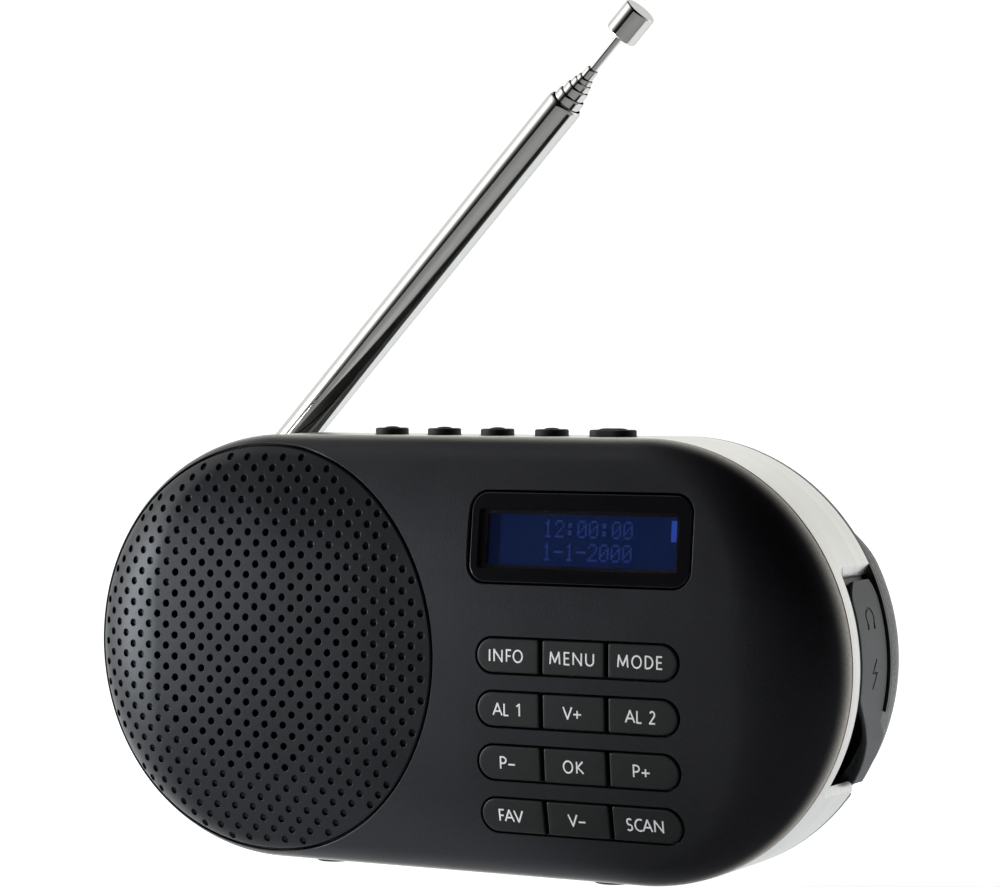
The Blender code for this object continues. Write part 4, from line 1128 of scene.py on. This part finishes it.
def flap_section(angle):
    """Front Y, back Y, inner radius and outer radius of the flap at one angle."""
    rounded = share_of(angle, FLAP_ROUND_FROM, FLAP_ANGLES[0]) ** 2
    slant = math.sin(math.pi / 2.0 * share_of(angle, FLAP_SLANT_FROM, FLAP_ANGLES[1]))
    front = FLAP_FRONT_Y + FLAP_ROUNDING[0] * rounded + FLAP_SLANT * slant
    back = FLAP_BACK_Y - FLAP_ROUNDING[1] * rounded + TAB_REACH * share_of(angle, *TAB_REACH_ANGLES)
    inner = FLAP_RADII[0] + TAB_LIFT * share_of(angle, *TAB_LIFT_ANGLES)
    outer = FLAP_RADII[1] + (CASE_RADIUS - FLAP_RADII[1]) * share_of(angle, *TAB_OUTER_ANGLES)
    return front, back, inner, outer


def port_flap():
    """Soft flap with rounded edges, its pull tab, and two pictograms sunk into it."""
    edge = 0.35
    end_lift = 0.3
    end_angle = 0.35
    steps = 84
    top, bottom = FLAP_ANGLES
    rows = []
    for step in range(-2, steps + 3):
        beyond = max(0, -step, step - steps) / 2.0
        angle = top + (bottom - top) * min(1.0, max(0.0, step / steps))
        front, back, inner, outer = flap_section(angle)
        shrink = end_lift * (1.0 - math.sqrt(1.0 - beyond**2))
        angle -= end_angle * beyond
        ring = [arc_point(inner, angle, back - edge * 0.5), arc_point(inner, angle, front + edge * 0.5)]
        for inset, drop in quarter_round(edge):
            ring.append(arc_point(outer - drop - shrink, angle, front + inset + shrink))
        for inset, drop in reversed(quarter_round(edge)):
            ring.append(arc_point(outer - drop - shrink, angle, back - inset - shrink))
        rows.append(ring)
    flap = lofted("port_flap_soft", rows, "flap_rubber")
    carve(flap, headphone_grooves() + bolt_groove())
    show(smooth(flap), "port_flap", "flap_rubber", "port_flap")


def groove(name, path, angle, y, radius=0.28):
    """Tool for a round-bottomed line in the flap; path is in millimetres along Y and up the arc."""
    outer = FLAP_RADII[1]
    points = [Vector(arc_point(outer, angle + math.degrees(up / outer), y + along)) for along, up in path]
    outward = (Vector(arc_point(1.0, angle, 0.0)) - Vector(arc_point(0.0, angle, 0.0))).normalized()
    rows = []
    for index, point in enumerate(points):
        before = points[max(index - 1, 0)]
        after = points[min(index + 1, len(points) - 1)]
        forward = (after - before).normalized()
        across = forward.cross(outward).normalized()
        up = across.cross(forward).normalized()
        rows.append([tuple(point + across * a + up * b) for a, b in circle(radius, 10)])
    return lofted(name, rows)


def headphone_grooves():
    angle, y = 11.9, 24.8
    size = 1.9
    arch = arc(0.0, 0.5, size, size, -35.0, 215.0, 16)
    tools = [groove("cut_arch", arch, angle, y)]
    for side in (-1.0, 1.0):
        cup = [(side * size * 0.82, -0.6), (side * size * 0.82, -1.9)]
        tools.append(groove("cut_cup_%d" % side, cup, angle, y, 0.42))
    return tools


def bolt_groove():
    angle, y = -2.0, 25.0
    path = [(0.9, 3.0), (-0.2, 1.6), (-1.1, 0.2), (0.0, 0.25), (1.1, 0.3), (0.3, -1.2), (-0.8, -3.0)]
    return [groove("cut_bolt", path, angle, y)]


# ---------------------------------------------------------------- rear cover and door
def rear_block(name, wall, front_y, finish=None):
    """Rear shape, one wall smaller each time: square-sided at its ends, rounder above and below them."""
    outline = stadium(END_X, CASE_RADIUS)
    inner = stadium(END_X, CASE_RADIUS - 1.0)
    back_y = DEPTH - wall
    fillet = REAR_FILLET - wall
    levels = [(front_y, None, 0.0)]
    if not wall:
        low, high, sink = REAR_LINE
        side = 0.1
        levels += [(low, None, 0.0), (low + side, None, sink), (high - side, None, sink), (high, None, 0.0)]
    levels += [(0.0, turn, 0.0) for turn in turns_between(0.0, 90.0, 16)]
    rows = []
    for y, turn, deeper in levels:
        row = []
        for (x, z), (x_in, z_in) in zip(outline, inner):
            across, up = x - x_in, z - z_in
            share = share_of(math.degrees(math.asin(min(1.0, abs(up)))), *REAR_ROUND_ANGLES)
            share = share * share * (3.0 - 2.0 * share)
            inset = REAR_INSET + wall + REAR_ROUND_INSET * share + deeper
            place_y = y
            if turn is not None:
                inset += fillet * (1.0 - math.cos(turn))
                square = back_y - fillet + fillet * math.sin(turn)
                rounded = REAR_ROUND_START_Y + (back_y - REAR_ROUND_START_Y) * math.sin(turn)
                place_y = square + (rounded - square) * share
            row.append((x - across * inset, place_y, z - up * inset))
        rows.append(row)
    return lofted(name, rows, finish)


def seam_lip():
    """Dark lip of the rear cover that closes the gap behind the band, open at the flap's tab."""
    front, back = LIP_Y
    inner, outer = CASE_RADIUS - REAR_INSET - REAR_WALL, CASE_RADIUS - LIP_SHORT
    profile = ((inner, front), (outer, front), (outer, back), (inner, back))
    lip = ring_band("rear_cover_lip", profile, "socket_black")
    start, stop = LIP_OPEN_ANGLES
    angles = [start + (stop - start) * step / 12 for step in range(13)]
    rows = []
    for y in (front - 1.0, back + 2.0):
        row = [arc_point(CASE_RADIUS + 2.0, angle, y) for angle in angles]
        row += [arc_point(inner - 2.0, angle, y) for angle in reversed(angles)]
        rows.append(row)
    carve(lip, [lofted("cut_lip", rows)])
    show(smooth(lip), "case", "socket_black", "rear_cover")


def block(name, y_from, z_from):
    """Tool that removes everything behind y_from and above z_from."""
    far = 200.0
    return lofted(name, box_rows((-far, far), (y_from, far), (z_from, far)))


def prism(name, outline, front_y, back_y):
    return lofted(name, [shifted(outline, BAY_CENTRE, y) for y in (front_y, back_y)])





def rear_cover():
    """Rear shell with its antenna shelf, screw posts, battery bay and the recess for the door."""
    cover = rear_block("rear_cover_textured", 0.0, REAR_FRONT_Y, "case_grey")
    hollow = rear_block("cut_hollow", REAR_WALL, HOLLOW_FRONT_Y)
    carve(hollow, [block("cut_hollow_shelf", SHELF_Y - REAR_WALL, SHELF_Z - REAR_WALL)])
    carve(cover, [hollow, block("cut_shelf", SHELF_Y, SHELF_Z)])
    for wall, (front, back) in ((BAY_FLANGE, BAY_FLANGE_Y), (BAY_WALL, BAY_TUB_Y)):
        outline = rounded_box(BAY_SIZE[0] + 2.0 * wall, BAY_SIZE[1] + 2.0 * wall, 2.0)
        carve(cover, [prism("add_bay", outline, front, back)], "UNION")
    carve(cover, [screw_post(index, centre) for index, centre in enumerate(screw_points())], "UNION")
    tools = [prism("cut_bay", rounded_box(*BAY_SIZE, 1.0), BAY_FLOOR_Y, PAST_BACK_Y), door_recess()]
    narrow = ((SCREW_HOLE_RADIUS, TOOL_BACK_Y), (SCREW_HOLE_RADIUS, SCREW_SEAT_Y))
    wide = ((SCREW_WAY_RADIUS, SCREW_SEAT_Y), (SCREW_WAY_RADIUS, PAST_BACK_Y))
    for index, centre in enumerate(screw_points()):
        tools.append(bar("cut_screw_way_%d" % index, centre, narrow + wide, 40))
    pivot = (ANTENNA_PIVOT[0], ANTENNA_PIVOT[2])
    swivel_hole = [(SWIVEL_HOLE_RADIUS, y) for y in (TOOL_BACK_Y, 40.0)]
    tools.append(bar("cut_swivel_hole", pivot, swivel_hole, 32))
    carve(cover, tools)
    show(smooth(cover), "case", "case_grey", "rear_cover")
    seam_lip()


def screw_post(index, centre):
    """Post round one screw way, trimmed just inside the outside of the cover."""
    back = SHELF_Y - 0.5 if centre[1] > 0.0 else POST_BACK_Y
    post = bar("add_post_%d" % index, centre, ((POST_RADIUS, HOLLOW_FRONT_Y), (POST_RADIUS, back)), 32)
    return carve(post, [rear_block("cut_post_%d" % index, 0.02, HOLLOW_FRONT_Y - 1.0)], "INTERSECT")


def door_recess():
    """Tool for the door's recess in the flat back, with a rounded edge."""
    gap = 0.3
    edge = 0.2
    outline = grown_box(DOOR_SIZE, DOOR_CORNER)
    sections = [(0.0, DEPTH - DOOR_THICKNESS - 0.4)]
    sections += [(inset, DEPTH - drop) for inset, drop in quarter_round(edge)[:-1]]
    sections += [(edge, DEPTH + TOOL_PAST), (edge, PAST_BACK_Y)]
    rows = [shifted(outline(gap + grow), BAY_CENTRE, y) for grow, y in sections]
    return lofted("cut_door_recess", rows)


def screw_points():
    for side, angle in SCREW_ANGLES:
        turn = math.radians(angle)
        yield side * END_X + SCREW_CIRCLE * math.cos(turn), SCREW_CIRCLE * math.sin(turn)


def battery_door():
    """Door with a rounded edge and a sunk thumb pad near its top."""
    back = DEPTH - 0.1
    outline = grown_box(DOOR_SIZE, DOOR_CORNER)
    rows = [shifted(outline(0.0), BAY_CENTRE, back - DOOR_THICKNESS)]
    rows += [shifted(outline(-inset), BAY_CENTRE, back - drop) for inset, drop in quarter_round(0.3)]
    door = lofted("battery_door_plate", rows, "case_grey")
    centre = (BAY_CENTRE[0], BAY_CENTRE[1] + DOOR_SIZE[1] / 2.0 - 3.5)
    pad = grown_box((16.0, 3.0), 1.4)
    sections = ((0.0, back - 0.8), (0.2, back - 0.1), (0.4, back + 0.3))
    carve(door, [lofted("cut_pad", [shifted(pad(grow), centre, y) for grow, y in sections])])
    show(smooth(door), "battery_door", "case_grey", "battery_door")


# ---------------------------------------------------------------- antenna
def lean_transform():
    return Matrix.Translation(Vector(ANTENNA_PIVOT)) @ Matrix.Rotation(ANTENNA_LEAN, 4, "Y")


def turned(name, profile, steps, transform, along="Z", hoop=False):
    """Turn (radius, height) points round an axis; hoop joins the last to the first."""
    rows = []
    for radius, height in profile:
        if along == "Z":
            rows.append([(x, y, height) for x, y in circle(radius, steps)])
        else:
            rows.append([(x, height, y) for x, y in circle(radius, steps)])
    return lofted(name, rows, "chrome", transform, hoop)


def show_chrome(item, body, node):
    show(smooth(item), body, "chrome", node)


def antenna():
    """The tubes from the outermost in, the rod with its cap, and the turning base."""
    turn = lean_transform()
    show_chrome(outer_tube(turn), "antenna_tube_1", "antenna_tube_1")
    for index in range(1, len(ANTENNA_RADII)):
        outer, bore, end = ANTENNA_RADII[index], ANTENNA_BORES[index], ANTENNA_ENDS[index]
        profile = [(bore, ANTENNA_INNER_START), (outer, ANTENNA_INNER_START), (outer, end - 0.45)]
        profile += [(outer - 0.05, end - 0.2), (outer - 0.15, end - 0.03), (bore + 0.02, end)]
        node = "antenna_tube_%d" % (index + 1)
        show_chrome(turned(node + "_chrome", profile, 64, turn, hoop=True), node, node)
    low, high = TIP_SPAN
    rod_end = low + 4.0
    profile = [(ROD_RADIUS, ANTENNA_INNER_START), (ROD_RADIUS, rod_end)]
    show_chrome(turned("antenna_rod_chrome", profile, 40, turn), "antenna_rod", "antenna_rod")
    bore = ROD_RADIUS + 0.3
    rounding = quarter_round(0.45, 5)
    profile = [(bore, rod_end + 0.3), (bore, low)]
    profile += [(TIP_RADIUS - inset, low + drop) for inset, drop in reversed(rounding)]
    profile += [(TIP_RADIUS - inset, high - drop) for inset, drop in rounding]
    show_chrome(turned("antenna_tip_cap", profile, TUBE_STEPS, turn), "antenna_rod", "antenna_tip")
    show_chrome(antenna_base(turn), "antenna_swivel", "antenna_swivel")


def outer_tube(turn):
    """Tube with a rounded foot, a rolled-in mouth, and the tongue that the hinge pin goes through."""
    outer, bore, end = ANTENNA_RADII[0], ANTENNA_BORES[0], ANTENNA_ENDS[0]
    profile = [*TUBE_FOOT, (outer, end - 1.0)]
    profile += [(outer - 0.04, end - 0.6), (outer - 0.16, end - 0.25), (outer - 0.36, end - 0.03)]
    profile += [(bore + 0.04, end), (bore, end - 0.2), (bore, 9.5)]
    tube = turned("antenna_tube_1_chrome", profile, TUBE_STEPS, turn)
    radius, root = 2.8, 7.0
    outline = [(radius, root), (-radius, root), *arc(0.0, 0.0, radius, radius, 180.0, 360.0, 24)]
    tongue = lofted("add_tongue", [[(x, y, z) for y, z in outline] for x in TONGUE_X], None, turn)
    return carve(tube, [tongue], "UNION")


def antenna_base(turn):
    """Turning base of the antenna with its stub through the cover and two cheeks for the pin."""
    base = turned("antenna_swivel_chrome", SWIVEL_PROFILE, 64, turn, along="Y")
    radius, root = 3.0, SWIVEL_PROFILE[-1][1] - 0.4
    outline = [(root, radius), (root, -radius), *arc(0.0, 0.0, radius, radius, -90.0, 90.0, 24)]
    cheeks = []
    for side in (-1.0, 1.0):
        rows = [[(x * side, y, z) for y, z in outline] for x in CHEEK_X]
        cheeks.append(lofted("add_cheek_%d" % side, rows, None, turn))
    carve(base, cheeks, "UNION")
    pin = [[(x, y, z) for y, z in circle(PIN_RADIUS, 32)] for x in (-6.0, 6.0)]
    return carve(base, [lofted("cut_pin_hole", pin, None, turn)])


# ---------------------------------------------------------------- feet
def feet():
    """Rubber feet, at the places and in the sizes of the CAD ones."""
    for corner in ("front_left", "front_right", "rear_left", "rear_right"):
        node = "foot_" + corner
        low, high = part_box(node)
        centre = (low + high) / 2.0
        radius = (high.x - low.x) / 2.0 / MM
        profile = [(radius - inset, drop) for inset, drop in reversed(quarter_round(0.15))]
        profile.append((radius, (high.z - low.z) / MM))
        x, y, z = centre.x / MM, (centre.y - FRONT_Y) / MM, (low.z - MIDDLE_Z) / MM
        rows = [[(x + px, y + py, z + up) for px, py in circle(reach, 48)] for reach, up in profile]
        show(smooth(lofted(node + "_pad", rows, "foot_rubber")), "case", "foot_rubber", node)


# ---------------------------------------------------------------- CAD nodes that stay as they are
NODE_FINISHES = {
    "socket_black": "port_frame headphone_jack",
    "board_green": "socket_board key_board top_button_board main_board",
    "light_guide": "display_backlight",
    "silicone": "keypad_membrane top_button_membrane",
    "tin": "tuner_module",
    "ferrite": "speaker_magnet",
    "cone_paper": "speaker_cone speaker_dust_cap",
    "battery_wrap": "battery_pack",
    "chrome": "antenna_hinge_pin",
    "steel": (
        "power_socket speaker_frame antenna_retaining_clip case_screw_left_bottom case_screw_left_top "
        "case_screw_right_bottom case_screw_right_top"
    ),
}


def dress_nodes():
    for finish, nodes in NODE_FINISHES.items():
        for node in nodes.split():
            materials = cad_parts[node].data.materials
            materials.clear()
            materials.append(MATERIALS[finish])


# ---------------------------------------------------------------- studio
def floor():
    """Pale floor that curves up into a backdrop behind the radio, and glows from the radio's foot on."""
    width = 4.0
    front, bend, height = -3.2, 1.3, 2.2
    radius = 0.7
    profile = [(front, 0.0), (0.0, 0.0), (bend, 0.0)]
    for turn in turns_between(0.0, 90.0, 24)[1:]:
        profile.append((bend + radius * math.sin(turn), radius * (1.0 - math.cos(turn))))
    profile.append((bend + radius, height))
    mesh = bpy.data.meshes.new("floor")
    points = [(side * width, y, z) for y, z in profile for side in (-1.0, 1.0)]
    faces = [(2 * k, 2 * k + 1, 2 * k + 3, 2 * k + 2) for k in range(len(profile) - 1)]
    mesh.from_pydata(points, [], faces)
    mesh.shade_smooth()
    mesh.materials.append(floor_finish())
    item = link_object("floor", mesh)
    item.rotation_euler = (0.0, 0.0, math.radians(CAMERA_AZIMUTH))


def floor_finish():
    """Matt pale grey with a glow that warms with height."""
    made, tree, shader = new_material("pale_floor")
    paint = ramp(tree, grain(tree, 3.0), (0.78, 0.78, 0.78), (0.8, 0.8, 0.8))
    settle(shader, {"Base Color": paint, "Roughness": 0.8, "Specular IOR Level": 0.1})
    split = add_node(tree, "SeparateXYZ", {"Vector": object_place(tree)})
    warmth = ramp(tree, split.outputs["Z"], (0.86, 0.885, 0.90), (1.0, 0.99, 0.94), 0.02, 0.5)
    limits = {"Value": split.outputs["Y"], "From Min": GLOW_START, "From Max": GLOW_FULL, "To Max": GLOW}
    glow = add_node(tree, "MapRange", limits, interpolation_type="SMOOTHSTEP")
    settle(shader, {"Emission Color": warmth, "Emission Strength": glow.outputs["Result"]})
    return made


def softbox(name, position, size, power):
    """Cool rectangular light, turned towards the middle of the case."""
    light = bpy.data.lights.new(name, "AREA")
    light.shape = "RECTANGLE"
    light.size, light.size_y = size
    light.energy = power
    light.color = (0.95, 0.97, 1.0)
    item = link_object(name, light)
    item.location = position
    item.rotation_euler = (Vector(LIGHT_AIM) - Vector(position)).to_track_quat("-Z", "Y").to_euler()


def sky():
    """Dark studio with two soft glows on the left and one behind on the right."""
    world = bpy.data.worlds.new("studio")
    world.use_nodes = True
    tree = world.node_tree
    direction = add_node(tree, "TexCoord").outputs["Generated"]
    total = SKY_BASE
    for azimuth, elevation, strength, sharpness in SKY_GLOWS:
        inputs = {0: direction, 1: heading(azimuth, elevation)}
        facing = add_node(tree, "VectorMath", inputs, operation="DOT_PRODUCT")
        in_front = add_node(tree, "Math", {0: facing.outputs["Value"], 1: 0.0}, operation="MAXIMUM")
        soft = add_node(tree, "Math", {0: in_front.outputs["Value"], 1: sharpness}, operation="POWER")
        inputs = {0: soft.outputs["Value"], 1: strength, 2: total}
        total = add_node(tree, "Math", inputs, operation="MULTIPLY_ADD").outputs["Value"]
    settle(tree.nodes["Background"], {"Color": total})
    bpy.context.scene.world = world


def studio():
    bpy.context.scene.view_settings.view_transform = "Standard"
    sky()
    softbox("left_low", (-0.34, -0.10, 0.10), (0.16, 0.2), 0.3)
    softbox("left_front", (-0.24, -0.155, 0.06), (0.12, 0.1), 0.62)


def heading(azimuth, elevation):
    """Direction at an azimuth and elevation in degrees, from -Y towards +X and up."""
    turn, rise = math.radians(azimuth), math.radians(elevation)
    return Vector((math.sin(turn) * math.cos(rise), -math.cos(turn) * math.cos(rise), math.sin(rise)))


def camera():
    data = bpy.data.cameras.new("camera")
    data.sensor_width = CAMERA_SENSOR
    data.lens = CAMERA_LENS
    data.clip_start, data.clip_end = 0.01, 20.0
    item = link_object("camera", data)
    back = heading(CAMERA_AZIMUTH, CAMERA_ELEVATION)
    level_right = (-back).cross(Vector((0.0, 0.0, 1.0))).normalized()
    level_up = level_right.cross(-back)
    roll = math.radians(CAMERA_ROLL)
    right = level_right * math.cos(roll) - level_up * math.sin(roll)
    up = level_right * math.sin(roll) + level_up * math.cos(roll)
    turn = Matrix((right, up, back)).transposed().to_4x4()
    item.matrix_world = Matrix.Translation(place(*CAMERA_AIM) + back * CAMERA_DISTANCE * MM) @ turn
    bpy.context.scene.camera = item


def build():
    front_cover()
    speaker_grille()
    display_window()
    display_module()
    keys()
    trim_band()
    top_buttons()
    port_flap()
    rear_cover()
    battery_door()
    antenna()
    feet()
    dress_nodes()
    floor()
    studio()
    camera()


build()
